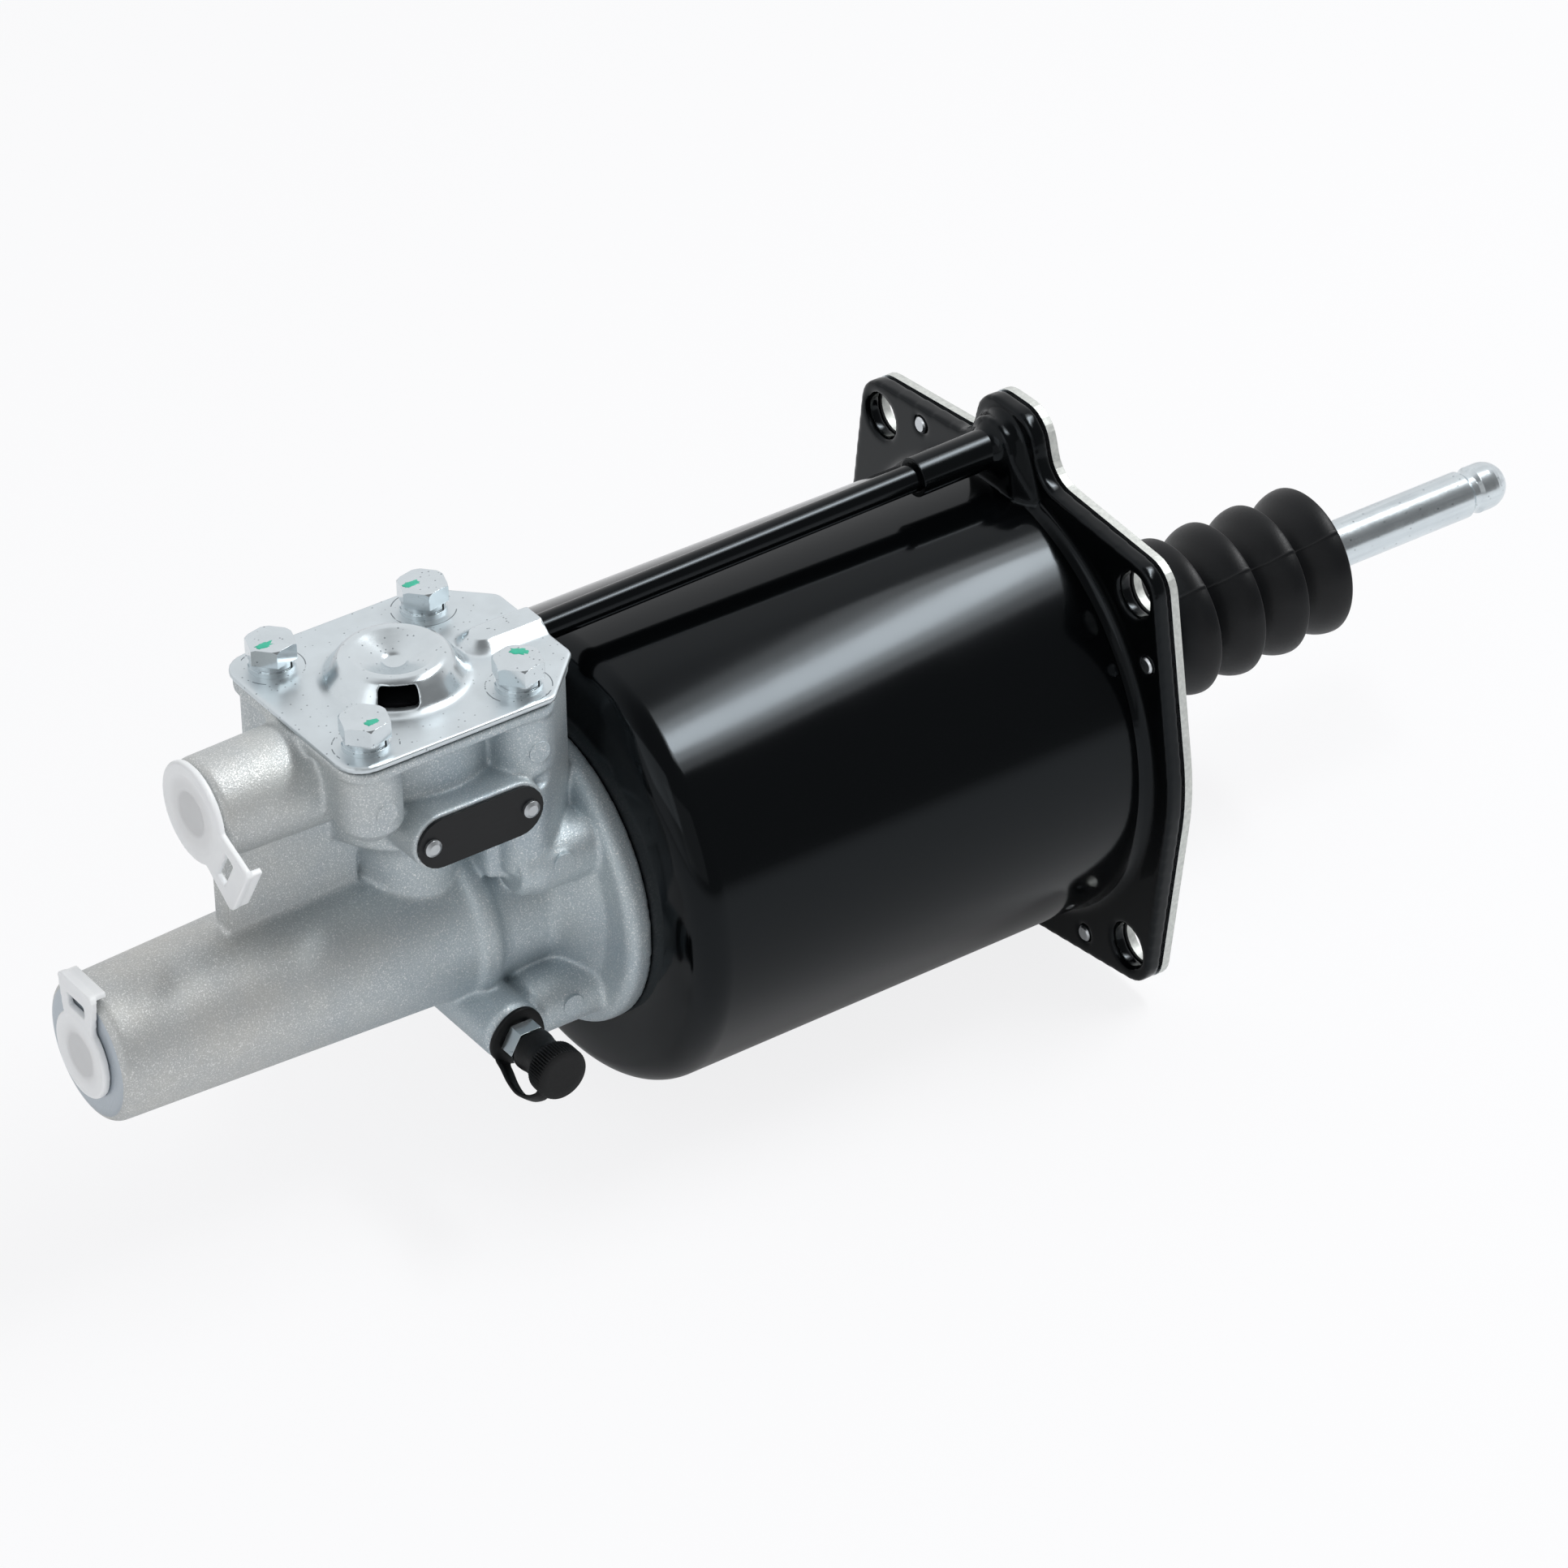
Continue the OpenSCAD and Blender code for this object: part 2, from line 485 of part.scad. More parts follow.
// Ejector marks on the side that faces -Y
module ejector_marks() {
    for (p = [[valve_at - screw_pitch_x / 2, 50], [valve_at + screw_pitch_x / 2, 50.5]])
        bar_y(2.6, screw_pitch_y / 2 + 3, screw_pitch_y / 2 + screw_boss_r + 0.25, x = p.x, z = p.y);
    for (p = [[can_end_x - 15, boss_at + 1.6], [can_end_x - 14, -boss_at + 0.6]])
        bar_y(2.6, boss_at + 3, boss_at + boss_r + 0.25, x = p.x, z = p.y);
}
module housing_voids() {
    // Oil side: inlet, chamber, gland bore and circlip groove
    bar_x(8.2, -tube_end - 1, -tube_end + inlet_recess);
    bar_x(inlet_r, -tube_end - 1, -tube_end + inlet_recess + inlet_depth);
    bar_x(2.5, -tube_end, bore_x0 + 1);
    bar_x(oil_bore_d / 2, bore_x0, gland_back + 1);
    bar_x(gland_bore_r, gland_back, can_end_x + spigot_reach + 1);
    lathe([[gland_bore_r - 1, gland_front], [circlip_r, gland_front], [circlip_r, gland_front + 1.2], [gland_bore_r - 1, gland_front + 1.2]]);
    lathe([[spigot_r + 0.1, can_end_x - 1.6], [spigot_r + 1.9, can_end_x - 1.6], [spigot_r + 1.9, can_end_x + 1], [spigot_r + 0.1, can_end_x + 1]]);
    // Bolts from inside the air cylinder
    at_disc_bolts() bar_x(can_bolt_r, can_inner_x - can_bolt_grip - 1, can_end_x + 1);
    // Relay valve: pilot bore, relay bore, seat pocket and guide pocket
    translate([valve_at, 0, 0]) {
        translate([0, 0, 5]) cylinder(r = 1.5, h = 16);
        translate([0, 0, 17]) cylinder(r = pilot_r, h = 20);
        translate([0, 0, relay_floor]) cylinder(r = relay_bore_r, h = seat_z - relay_floor + eps);
        translate([0, 0, seat_z]) cylinder(r = relay_bore_r + 1, h = valve_top - seat_z + 1);
        translate([0, 0, guide_clip_z]) cylinder(r = relay_bore_r + 2, h = 1.2);
    }
    // Delivery passage to the air cylinder
    hull_free_passage();
    // Air inlet
    bar_x(9.4, -air_end - 1, -air_end + inlet_recess, z = air_z);
    bar_x(air_r, -air_end - 1, -air_end + inlet_recess + air_depth, z = air_z);
    bar_x(4, -air_end, valve_at, z = air_z);
    // Bleeder: thread, seat and the drilling to the oil chamber
    bar_y(4.2, 13, bleed_boss_y + 1, x = -bleed_x, z = -bleed_z);
    translate([-bleed_x, -13.5, -bleed_z]) rotate([-50, 0, 0]) cylinder(r = 1.2, h = 14);
    // Cover screws, breather channel and data plate rivets
    at_cover_screws() translate([0, 0, screw_boss_z + 6]) cylinder(r = screw_r, h = 30);
    along_pipe(pipe_r, pipe_start_x, cover_right + 2);
    translate([valve_at + 12, -2, valve_top - 2.2]) cube([pipe_start_x - valve_at - 11, 4, 4]);
    for (s = [-1, 1]) bar_y(1.2, pad_y - 5, pad_y + 1, x = pad_x + s * 12.3, z = pad_z);
}
inlet_recess = 4;
inlet_depth = 9;
air_depth = 12;
guide_clip_z = 59.4;
module hull_free_passage() {
    run = [can_end_x - (valve_at + 13), delivery_z - 41];
    translate([valve_at + 13, 0, 41]) rotate([0, 90 - atan2(run.y, run.x), 0]) cylinder(r = 3, h = norm(run) + 2);
}
module valve_housing() color([0.66, 0.67, 0.69]) difference() {
    union() {
        tube_and_disc();
        bolt_bosses();
        valve_body();
        servo_web();
        pads_and_ports();
        ejector_marks();
    }
    housing_voids();
}

// Relay valve train
relay_rest = relay_floor + 0.6;
relay_land_h = 4;
stem_r = 4.4;
seat_hole_r = 6;
seat_h = 4;
seat_top = seat_z + seat_h;
stem_top = seat_top - relay_travel + poppet_lift - 0.3;
module relay_piston() color([0.7, 0.71, 0.73]) upright([[0, 19.6], [pilot_r - 0.3, 19.6], [pilot_r - running, 20.4],
    [pilot_r - running, 22], [pilot_r - 1.2, 22], [pilot_r - 1.2, 24], [pilot_r - running, 24],
    [pilot_r - running, relay_rest], [relay_bore_r - 0.15, relay_rest], [relay_bore_r - 0.15, relay_rest + 1],
    [relay_bore_r - 1.6, relay_rest + 1], [relay_bore_r - 1.6, relay_rest + 3], [relay_bore_r - 0.15, relay_rest + 3],
    [relay_bore_r - 0.15, relay_rest + relay_land_h], [stem_r, relay_rest + relay_land_h], [stem_r, stem_top],
    [stem_r - 1.6, stem_top], [stem_r - 1.6, relay_rest + 2], [0, relay_rest + 2]]);
module relay_seals() color([0.07, 0.07, 0.08]) {
    upright([[pilot_r - 1.2, 22.1], [pilot_r - 0.1, 22.1], [pilot_r - 0.1, 23.9], [pilot_r - 1.2, 23.9]]);
    upright([[relay_bore_r - 1.6, relay_rest + 1.1], [relay_bore_r - 0.1, relay_rest + 1.1],
        [relay_bore_r - 0.1, relay_rest + 2.9], [relay_bore_r - 1.6, relay_rest + 2.9]]);
}
module relay_spring() color([0.6, 0.62, 0.64]) translate([valve_at, 0, relay_rest + relay_land_h + 0.7])
    coil(10, 10, seat_z - relay_rest - relay_land_h - 1.4, 2, 0.6, 14);
module valve_seat() color([0.78, 0.64, 0.34]) upright([[seat_hole_r, seat_z], [relay_bore_r + 1 - running, seat_z],
    [relay_bore_r + 1 - running, seat_z + 2.4], [seat_hole_r + 2.4, seat_z + 2.4], [seat_hole_r + 1, seat_top], [seat_hole_r, seat_top]]);
poppet_stem_r = 4;
module poppet_valve() color([0.12, 0.12, 0.13]) upright([[1.8, seat_top + soft_gap], [9, seat_top + soft_gap],
    [9, seat_top + 2.4], [poppet_stem_r, seat_top + 3], [poppet_stem_r, guide_clip_z - 0.4], [1.8, guide_clip_z - 0.4]]);
poppet_spring_r = 0.45;
poppet_spring_z = seat_top + 3 + poppet_spring_r;
module poppet_spring() color([0.6, 0.62, 0.64]) translate([valve_at, 0, poppet_spring_z + 0.1])
    coil(6.6, 6.6, guide_pocket_z - 0.2 - poppet_spring_r - poppet_spring_z, 3, poppet_spring_r, 14);
guide_pocket_z = guide_clip_z - 2;
module poppet_guide() color([0.9, 0.89, 0.84]) difference() {
    upright([[poppet_stem_r + running, guide_pocket_z], [9.5, guide_pocket_z], [9.5, guide_z],
        [relay_bore_r + 1 - running, guide_z], [relay_bore_r + 1 - running, guide_clip_z], [poppet_stem_r + running, guide_clip_z]]);
    translate([valve_at, 0, guide_z - 1]) for (a = [0:60:300]) rotate([0, 0, a]) translate([12, 0, 0]) cylinder(r = 1.3, h = 12);
}
module guide_circlip() color([0.3, 0.3, 0.32]) difference() {
    upright([[relay_bore_r - 2, guide_clip_z], [relay_bore_r + 2, guide_clip_z], [relay_bore_r + 2, guide_clip_z + 1.2], [relay_bore_r - 2, guide_clip_z + 1.2]]);
    translate([valve_at - 20, -3, guide_clip_z - 1]) cube([20, 6, 4]);
}
module exhaust_flap() color([0.05, 0.05, 0.055]) upright([[0, guide_clip_z + 1.3], [11.5, guide_clip_z + 1.3],
    [12, guide_clip_z + 2], [12, cover_z + 2.2], [3, cover_z + 2.2], [2, cover_z + 3], [0, cover_z + 3]]);

// Valve cover: sheet with a vented dome and a channel pressed over the end of the breather pipe
module cover_gasket() color([0.2, 0.2, 0.21]) difference() {
    translate([0, 0, valve_top]) linear_extrude(gasket_t) polygon(cover_outline(0.9));
    translate([valve_at, 0, valve_top - 1]) cylinder(r = relay_bore_r + 1, h = 3);
    translate([valve_at + 12, -pipe_r, valve_top - 1]) cube([60, pipe_d, 3]);
    at_cover_screws() translate([0, 0, valve_top - 1]) cylinder(r = screw_r + 0.3, h = 3);
}
channel_r = pipe_r + 0.1;
channel_half = pipe_r + 2.5;
channel_h = pipe_z + pipe_r + 1.8 - cover_top;
function dome(drop) = [[dome_r - drop, cover_top - drop], [dome_r - 1 - drop, cover_top + 0.8 - drop],
    [dome_r - 2.4 - drop * 0.9, cover_top + dome_h - 2 - drop], [dome_r - 3.2 - drop * 0.7, cover_top + dome_h - 0.7 - drop],
    [dome_r - 4.4 - drop * 0.4, cover_top + dome_h - 0.1 - drop], [dome_r - 5.4, cover_top + dome_h - drop],
    [3.2, cover_top + dome_h - 1.9 - drop], [2.6, cover_top + dome_h - 2.3 - drop], [0, cover_top + dome_h - 2.3 - drop]];
module valve_cover() color([0.74, 0.76, 0.78]) difference() {
    union() {
        translate([0, 0, cover_z]) linear_extrude(cover_t) polygon(cover_outline(0));
        upright(concat([[0, cover_z], [dome_r, cover_z]], dome(0)));
        // Channel with sloped sides and a rounded closed end
        translate([pipe_start_x, 0, cover_top - eps]) cylinder(r1 = channel_half, r2 = channel_half - 2.8, h = channel_h);
        translate([pipe_start_x, 0, 0]) rotate([90, 0, 90]) linear_extrude(cover_right - pipe_start_x) polygon([[-channel_half, cover_top - 1],
            [-channel_half, cover_top - eps], [2.8 - channel_half, cover_top - eps + channel_h], [channel_half - 2.8, cover_top - eps + channel_h],
            [channel_half, cover_top - eps], [channel_half, cover_top - 1]]);
    }
    upright(concat([[0, cover_z - 1], [dome_r - cover_t, cover_z - 1]], dome(cover_t)));
    along_pipe(channel_r, pipe_start_x - 2, cover_right + 2);
    at_cover_screws() translate([0, 0, cover_z - 1]) cylinder(r = screw_r + 0.3, h = 4);
    // Exhaust slot
    translate([valve_at, 0, cover_top + 3]) rotate([0, 0, -119]) translate([dome_r - 6, 0, 0]) rotate([90, 0, 90])
        linear_extrude(8) polygon(rounded([[-4.5, -2.1, 1], [4.5, -2.1, 1], [4.5, 2.1, 1], [-4.5, 2.1, 1]]));
}
module cover_flat_washers() color([0.76, 0.78, 0.8]) at_cover_screws() translate([0, 0, cover_top]) difference() {
    cylinder(r = 5.2, h = screw_washer_t);
    translate([0, 0, -1]) cylinder(r = screw_r + 0.2, h = 4);
}
module cover_spring_washers() color([0.7, 0.72, 0.74]) at_cover_screws() translate([0, 0, cover_top + screw_washer_t]) difference() {
    cylinder(r = 4.8, h = screw_spring_t);
    translate([0, 0, -1]) cylinder(r = screw_r + 0.2, h = 4);
    rotate([0, 0, -60]) translate([2, -0.4, -1]) cube([5, 0.8, 4]);
}
screw_seat_z = cover_top + screw_washer_t + screw_spring_t;
module cover_screws() color([0.78, 0.8, 0.82]) at_cover_screws() {
    translate([0, 0, screw_boss_z + 8]) cylinder(r = screw_r - running, h = screw_seat_z - screw_boss_z - 8 + eps);
    translate([0, 0, screw_seat_z]) intersection() {
        rotate([0, 0, 12]) cylinder(r = screw_head_af / 2 / cos(30), h = screw_head_t, $fn = 6);
        cylinder(r1 = 5.9 + 3.4, r2 = 5.3, h = screw_head_t);
    }
}

// Breather pipe, which rises a little on its way to the flange
module breather_pipe() color([0.03, 0.03, 0.035]) difference() {
    along_pipe(pipe_r, pipe_start_x, seal_x - 5.5);
    along_pipe(pipe_r - 1, pipe_start_x - 1, seal_x - 5);
}

// Bare data plate and its rivets
module data_plate() color([0.04, 0.04, 0.045]) difference() {
    translate([pad_x, -pad_y, pad_z]) rotate([90, 0, 0]) linear_extrude(0.8) stadium(pad_len, pad_h);
    for (s = [-1, 1]) bar_y(1.3, pad_y - 1, pad_y + 2, x = pad_x + s * 12.3, z = pad_z);
}
module data_plate_rivets() color([0.75, 0.76, 0.78]) for (s = [-1, 1]) {
    bar_y(1.2, pad_y - 4, pad_y + 0.8, x = pad_x + s * 12.3, z = pad_z);
    bar_y(2, pad_y + 0.8, pad_y + 1.5, x = pad_x + s * 12.3, z = pad_z);
    bar_y(2, pad_y + 1.5, pad_y + 2, x = pad_x + s * 12.3, z = pad_z, r1 = 1.2);
}

// Bleed screw, its rubber cap and the strap between them
strap_y = bleed_boss_y + 0.2;
strap_t = 2;
hex_y = strap_y + strap_t + 0.1;
hex_h = 4;
cap_y = hex_y + hex_h + 0.2;
cap_neck_h = 7.4;
cap_disc_h = 4.6;
cap_disc_r = 6.1;
bleed_hex_af = 9;
module bleed_screw() color([0.76, 0.78, 0.8]) {
    bar_y(1, 14, 16, x = -bleed_x, z = -bleed_z, r1 = 3);
    bar_y(4, 16, hex_y + eps, x = -bleed_x, z = -bleed_z);
    bar_y(bleed_hex_af / 2 / cos(30), hex_y, hex_y + hex_h, x = -bleed_x, z = -bleed_z, $fn = 6);
    bar_y(2.6, hex_y + hex_h - eps, cap_y + 5, x = -bleed_x, z = -bleed_z);
    bar_y(3.4, cap_y + 5, cap_y + 7, x = -bleed_x, z = -bleed_z, r1 = 2.4);
}
module bleed_cap() color([0.05, 0.05, 0.055]) difference() {
    union() {
        bar_y(4.6, cap_y, cap_y + cap_neck_h, x = -bleed_x, z = -bleed_z);
        bar_y(cap_disc_r - 0.5, cap_y + cap_neck_h - 0.6, cap_y + cap_neck_h, x = -bleed_x, z = -bleed_z, r1 = cap_disc_r);
        bar_y(cap_disc_r, cap_y + cap_neck_h, cap_y + cap_neck_h + cap_disc_h - 0.6, x = -bleed_x, z = -bleed_z);
        bar_y(cap_disc_r, cap_y + cap_neck_h + cap_disc_h - 0.6, cap_y + cap_neck_h + cap_disc_h, x = -bleed_x, z = -bleed_z, r1 = cap_disc_r - 0.6);
    }
    bar_y(3.5, cap_y - 1, cap_y + 8, x = -bleed_x, z = -bleed_z);
}
strap_turn = -48;
module cap_strap() color([0.05, 0.05, 0.055]) {
    difference() {
        bar_y(6.8, strap_y, strap_y + strap_t, x = -bleed_x, z = -bleed_z);
        bar_y(4.1, strap_y - 1, strap_y + strap_t + 1, x = -bleed_x, z = -bleed_z);
    }
    // A flat strap that arches from the ring to the cap's rim
    end_y = cap_y + cap_neck_h + 3;
    chord = end_y - strap_y - strap_t / 2;
    sag = 4.2;
    r = (chord * chord / 4 + sag * sag) / (2 * sag);
    half = asin(chord / 2 / r);
    reach = cap_disc_r + sag + 0.9;
    translate([-bleed_x, 0, -bleed_z]) rotate([0, strap_turn, 0]) {
        translate([-(reach - r), -(strap_y + strap_t / 2 + chord / 2), 0]) rotate([0, 0, 180 - half]) rotate_extrude(angle = 2 * half)
            translate([r - 0.6, -1.6]) square([1.2, 3.2]);
        translate([-(reach - sag + 0.5), -(strap_y + strap_t), -1.6]) cube([3, strap_t, 3.2]);
    }
}

// Transport plugs, each a cup with a windowed pull tab
module plug_cup(x, flange_r, stub_r, z) {
    difference() {
        union() {
            bar_x(flange_r - 0.4, x - 1.8, x - 1.4, z = z, r1 = flange_r);
            bar_x(flange_r, x - 1.4, x - 0.1, z = z);
            bar_x(stub_r, x - 0.4, x + 3.4, z = z);
        }
        bar_x(stub_r - 1.2, x - 1.4, x + 4, z = z);
    }
}
// Tab from the cup's rim to a lug that bends back over the boss, with a window to hook a finger in
module pull_tab(x, half, from, window, to) {
    translate([x - 1.7, 0, 0]) rotate([90, 0, 90]) linear_extrude(1.5) difference() {
        polygon(rounded([[-half + 1.2, from, 0], [half - 1.2, from, 0], [half, to - 1, 1], [half - 1, to, 1],
                         [-half + 1, to, 1], [-half, to - 1, 1]]));
        translate([-half + 3.6, window]) square([2 * half - 7.2, 3.2]);
    }
    translate([x - 1.7, -half + 1, to - 1.6]) cube([4.2, 2 * half - 2, 1.4]);
}
module inlet_plug() color([0.92, 0.93, 0.94]) {
    plug_cup(-tube_end, 10, 8.1, 0);
    pull_tab(-tube_end, 7, 8.5, 11.2, tube_od / 2 + 2);
}
module air_plug() color([0.92, 0.93, 0.94]) {
    plug_cup(-air_end, 11.6, 9.3, air_z);
    translate([0, 0, air_z]) rotate([120, 0, 0]) pull_tab(-air_end, 7.8, 9, 13, 21);
}

air_cylinder();
pipe_sleeve();
flange_seal();
front_plate();
plate_rivets();
dust_boot();
push_rod();
power_piston();
piston_lip_seal();
piston_guide_ring();
rod_retainer();
preload_spring();
hydraulic_plunger();
gland_bush();
gland_seal();
gland_circlip();
spigot_seal();
cylinder_bolts();
valve_housing();
relay_piston();
relay_seals();
relay_spring();
valve_seat();
poppet_valve();
poppet_spring();
poppet_guide();
guide_circlip();
exhaust_flap();
cover_gasket();
valve_cover();
cover_flat_washers();
cover_spring_washers();
cover_screws();
breather_pipe();
data_plate();
data_plate_rivets();
bleed_screw();
bleed_cap();
cap_strap();
inlet_plug();
air_plug();
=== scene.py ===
import math
from functools import partial

import bmesh
import bpy
import numpy as np
from bpy.props import FloatProperty, FloatVectorProperty, IntProperty, PointerProperty
from bpy.types import Operator, Panel, PropertyGroup
from mathutils import Matrix, Vector


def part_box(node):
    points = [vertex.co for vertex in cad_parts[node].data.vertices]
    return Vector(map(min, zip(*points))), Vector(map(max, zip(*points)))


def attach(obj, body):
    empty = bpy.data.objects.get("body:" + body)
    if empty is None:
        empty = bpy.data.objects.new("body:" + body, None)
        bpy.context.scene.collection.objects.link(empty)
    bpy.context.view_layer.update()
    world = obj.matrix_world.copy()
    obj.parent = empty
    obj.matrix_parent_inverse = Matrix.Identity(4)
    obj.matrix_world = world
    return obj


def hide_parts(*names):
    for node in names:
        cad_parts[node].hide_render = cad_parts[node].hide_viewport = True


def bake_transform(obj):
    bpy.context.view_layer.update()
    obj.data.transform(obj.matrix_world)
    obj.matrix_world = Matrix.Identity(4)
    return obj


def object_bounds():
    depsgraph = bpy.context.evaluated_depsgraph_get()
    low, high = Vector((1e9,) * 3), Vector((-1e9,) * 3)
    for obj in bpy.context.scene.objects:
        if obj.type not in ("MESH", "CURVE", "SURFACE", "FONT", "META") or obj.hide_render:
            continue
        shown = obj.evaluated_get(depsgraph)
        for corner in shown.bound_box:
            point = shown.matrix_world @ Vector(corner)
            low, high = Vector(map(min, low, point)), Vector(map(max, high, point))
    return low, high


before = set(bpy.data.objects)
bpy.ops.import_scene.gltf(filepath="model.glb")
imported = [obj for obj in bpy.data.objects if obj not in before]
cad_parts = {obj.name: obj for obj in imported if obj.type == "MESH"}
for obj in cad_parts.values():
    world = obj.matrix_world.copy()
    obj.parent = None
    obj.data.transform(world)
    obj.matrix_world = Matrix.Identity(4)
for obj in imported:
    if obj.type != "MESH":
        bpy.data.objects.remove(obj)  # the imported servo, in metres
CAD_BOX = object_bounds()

bl_info = {
    "name": "Clutch servo",
    "version": (1, 0, 0),
    "blender": (4, 5, 0),
    "location": "View3D > Sidebar > Clutch servo",
    "description": "Finishes and shapes the pieces of an air-hydraulic clutch servo",
    "category": "Object",
}

MM = 0.001

# Sizes of the pieces that are made here, in millimetres from the mounting face and the rod's axis

CAN_R, CAN_BORE_R, CAN_END, CAN_BACK, CAN_FRONT = 54.0, 51.0, -127.5, -118.5, -9.2
SHOULDER, SHOULDER_TURN = 8.0, 72  # radius and degrees of the can's rolled edge
SPIGOT_R, DISC_R = 17.56, 37.8
FLANGE_BACK, DUCT_FACE, SLEEVE_Z = -11.2, -10.5, 63.48
STUB_BACK, STUB_REACH, STUB_CLEAR = -8.9, 0.45, 0.06  # the flange's stub inside the can
VALVE_X, COVER_TOP, HEAD_TOP = -166.5, 63.5, 70.3
DOME_R, DOME_H, DOME_DRAW = 16.6, 6.4, 0.13
DISH_R, DISH_DEPTH, DISH_FLAT = 10.5, 0.9, 0.75
CHANNEL_START, CHANNEL_END, CHANNEL_HALF, CHANNEL_ROUND, CHANNEL_SLOPE = 14, 22.0, 8, 8.6, 0.577
PORTS_X, VALVE_BACK_X = -215.0, -165.0  # the port faces lie behind the first
LUG_AT, LUG_R, LUG_EDGE, LUG_BACK, LUG_FRONT, BOSS_TOP = 18.4, 7.6, 3, -150.5, -129.0, 40.0
EJECTOR_R, EJECTOR_STEP = 2.6, 0.12
SCREW_X, SCREW_Y = 19.0, 18.5
SCRATCH_R, SCRATCH_HALF = 7.1, 0.13
BLEED_X, BLEED_Z, STRAP_TILT = -157.0, -18.5, 48
COLLAR_R, COLLAR_H, ROD_R = 20.0, 6.0, 5.95
BOOT_END, BOOT_PITCH, BOOT_ROOT, BOOT_CRESTS, NECK_WALL = 81.0, 13.1, 12.1, 5, 0.9
FLARE, RIM_R = 0.74, 0.5  # share of the pitch over which a rib flares, and radius of its rim
PARTING, FLASH = 40, 0.2  # degrees of the boot's parting line, and its height
AIR_PORT_Z = 49.0
FLANGE_CELL, COVER_CELL, PLUG_CELL = 0.55, 0.34, 0.3


def linear(hex_colour):
    """The linear colour of an sRGB hex value."""
    parts = [int(hex_colour[i:i + 2], 16) / 255 for i in (1, 3, 5)]
    return tuple(c / 12.92 if c <= 0.04045 else ((c + 0.055) / 1.055) ** 2.4 for c in parts)


def rgba(colour, shade=1.0):
    """The colour as four numbers, darkened or lightened by shade."""
    return (*[min(1.0, c * shade) for c in colour], 1.0)


def per_mm(size):
    """The texture scale at which a pattern repeats about every size millimetres."""
    return 1 / (size * MM)


# Settings that a user would change


class ServoColours(PropertyGroup):
    enamel: FloatVectorProperty(
        name="Enamel", description="Baked enamel on the air cylinder and the pipe", subtype="COLOR", min=0, max=1,
        default=linear("#040506"))
    casting: FloatVectorProperty(
        name="Casting", description="Shot-blasted aluminium of the valve housing", subtype="COLOR", min=0, max=1,
        default=linear("#D0D0CF"))
    zinc: FloatVectorProperty(
        name="Zinc", description="Zinc plating of plate, cover, screws and push rod", subtype="COLOR", min=0, max=1,
        default=linear("#D6DEE2"))
    rubber: FloatVectorProperty(
        name="Rubber", description="Boot, seals, bleeder cap and strap", subtype="COLOR", min=0, max=1,
        default=linear("#090B0E"))
    plug: FloatVectorProperty(
        name="Plugs", description="Polyethylene of the transport plugs", subtype="COLOR", min=0, max=1,
        default=linear("#F3F5F7"))
    mark: FloatVectorProperty(
        name="Torque mark", description="Paint dabbed on each tightened screw", subtype="COLOR", min=0, max=1,
        default=linear("#35B898"))


class ServoCasting(PropertyGroup):
    skin: FloatProperty(
        name="Skin", description="Size of the cells that the casting's surface is rebuilt from", subtype="DISTANCE",
        unit="LENGTH", default=0.5 * MM, min=0.4 * MM, max=2 * MM)
    fillets: IntProperty(
        name="Fillets", description="Passes that fill the casting's inside corners", default=7, min=0, max=80)
    rounding: IntProperty(
        name="Rounding", description="Passes that round the casting's outside corners", default=2, min=0, max=40)
    grit: FloatProperty(
        name="Grit", description="Width of a shot-blasted dimple", subtype="DISTANCE", unit="LENGTH",
        default=0.34 * MM, min=0.2 * MM, max=2 * MM)


class ServoRubber(PropertyGroup):
    crest: FloatProperty(
        name="Crest", description="Radius of the boot's widest rib", subtype="DISTANCE", unit="LENGTH",
        default=19.3 * MM, min=17 * MM, max=20 * MM)
    wall: FloatProperty(
        name="Wall", description="Thickness of the boot's wall", subtype="DISTANCE", unit="LENGTH", default=0.9 * MM,
        min=0.6 * MM, max=1.5 * MM)
    sag: FloatProperty(
        name="Sag", description="How far the boot's ribs hang below the rod's axis", subtype="DISTANCE",
        unit="LENGTH", default=1.2 * MM, min=0, max=2 * MM)
    knurl: IntProperty(name="Knurl", description="Ribs around the bleeder's cap", default=56, min=24, max=80)


class ServoStage(PropertyGroup):
    floor: FloatVectorProperty(
        name="Floor", description="Colour of the floor and the room", subtype="COLOR", min=0, max=1,
        default=linear("#FCFCFD"))
    key: FloatProperty(
        name="Key light", description="Radiant power that the soft boxes share", subtype="POWER", unit="POWER",
        default=12.5, min=0, max=200)
    fill: FloatProperty(
        name="Room light", description="Strength of the room's even light", default=0.48, min=0, max=2)
    dark: FloatProperty(
        name="Dark side", description="Brightness of the room behind the camera, as gloss shows it", default=0.25,
        min=0, max=1)


# Nodes


def link(node, sources):
    """Links a node's inputs to outputs; a node stands for the first of its outputs that is in use."""
    for key, source in sources.items():
        if isinstance(source, bpy.types.Node):
            source = next(output for output in source.outputs if output.enabled)
        node.id_data.links.new(source, node.inputs[key])
    return node


def add_node(tree, kind, settings=None, sources=None):
    """Adds a shader node; a setting is an attribute or an input's value, a source is what link() joins to an input."""
    node = tree.nodes.new("ShaderNode" + kind)
    for key, value in (settings or {}).items():
        if isinstance(key, str) and hasattr(node, key):
            setattr(node, key, value)
        else:
            node.inputs[key].default_value = value
    return link(node, sources or {})


def new_finish(name, settings):
    """A new material, the function that adds nodes to it, its shader, and a point's place on its piece."""
    finish = bpy.data.materials.new(name)
    finish.use_nodes = True
    finish.node_tree.nodes.clear()
    add = partial(add_node, finish.node_tree)
    shader = add("BsdfPrincipled", settings)
    add("OutputMaterial", None, {"Surface": shader})
    return finish, add, shader, add("TexCoord").outputs["Object"]


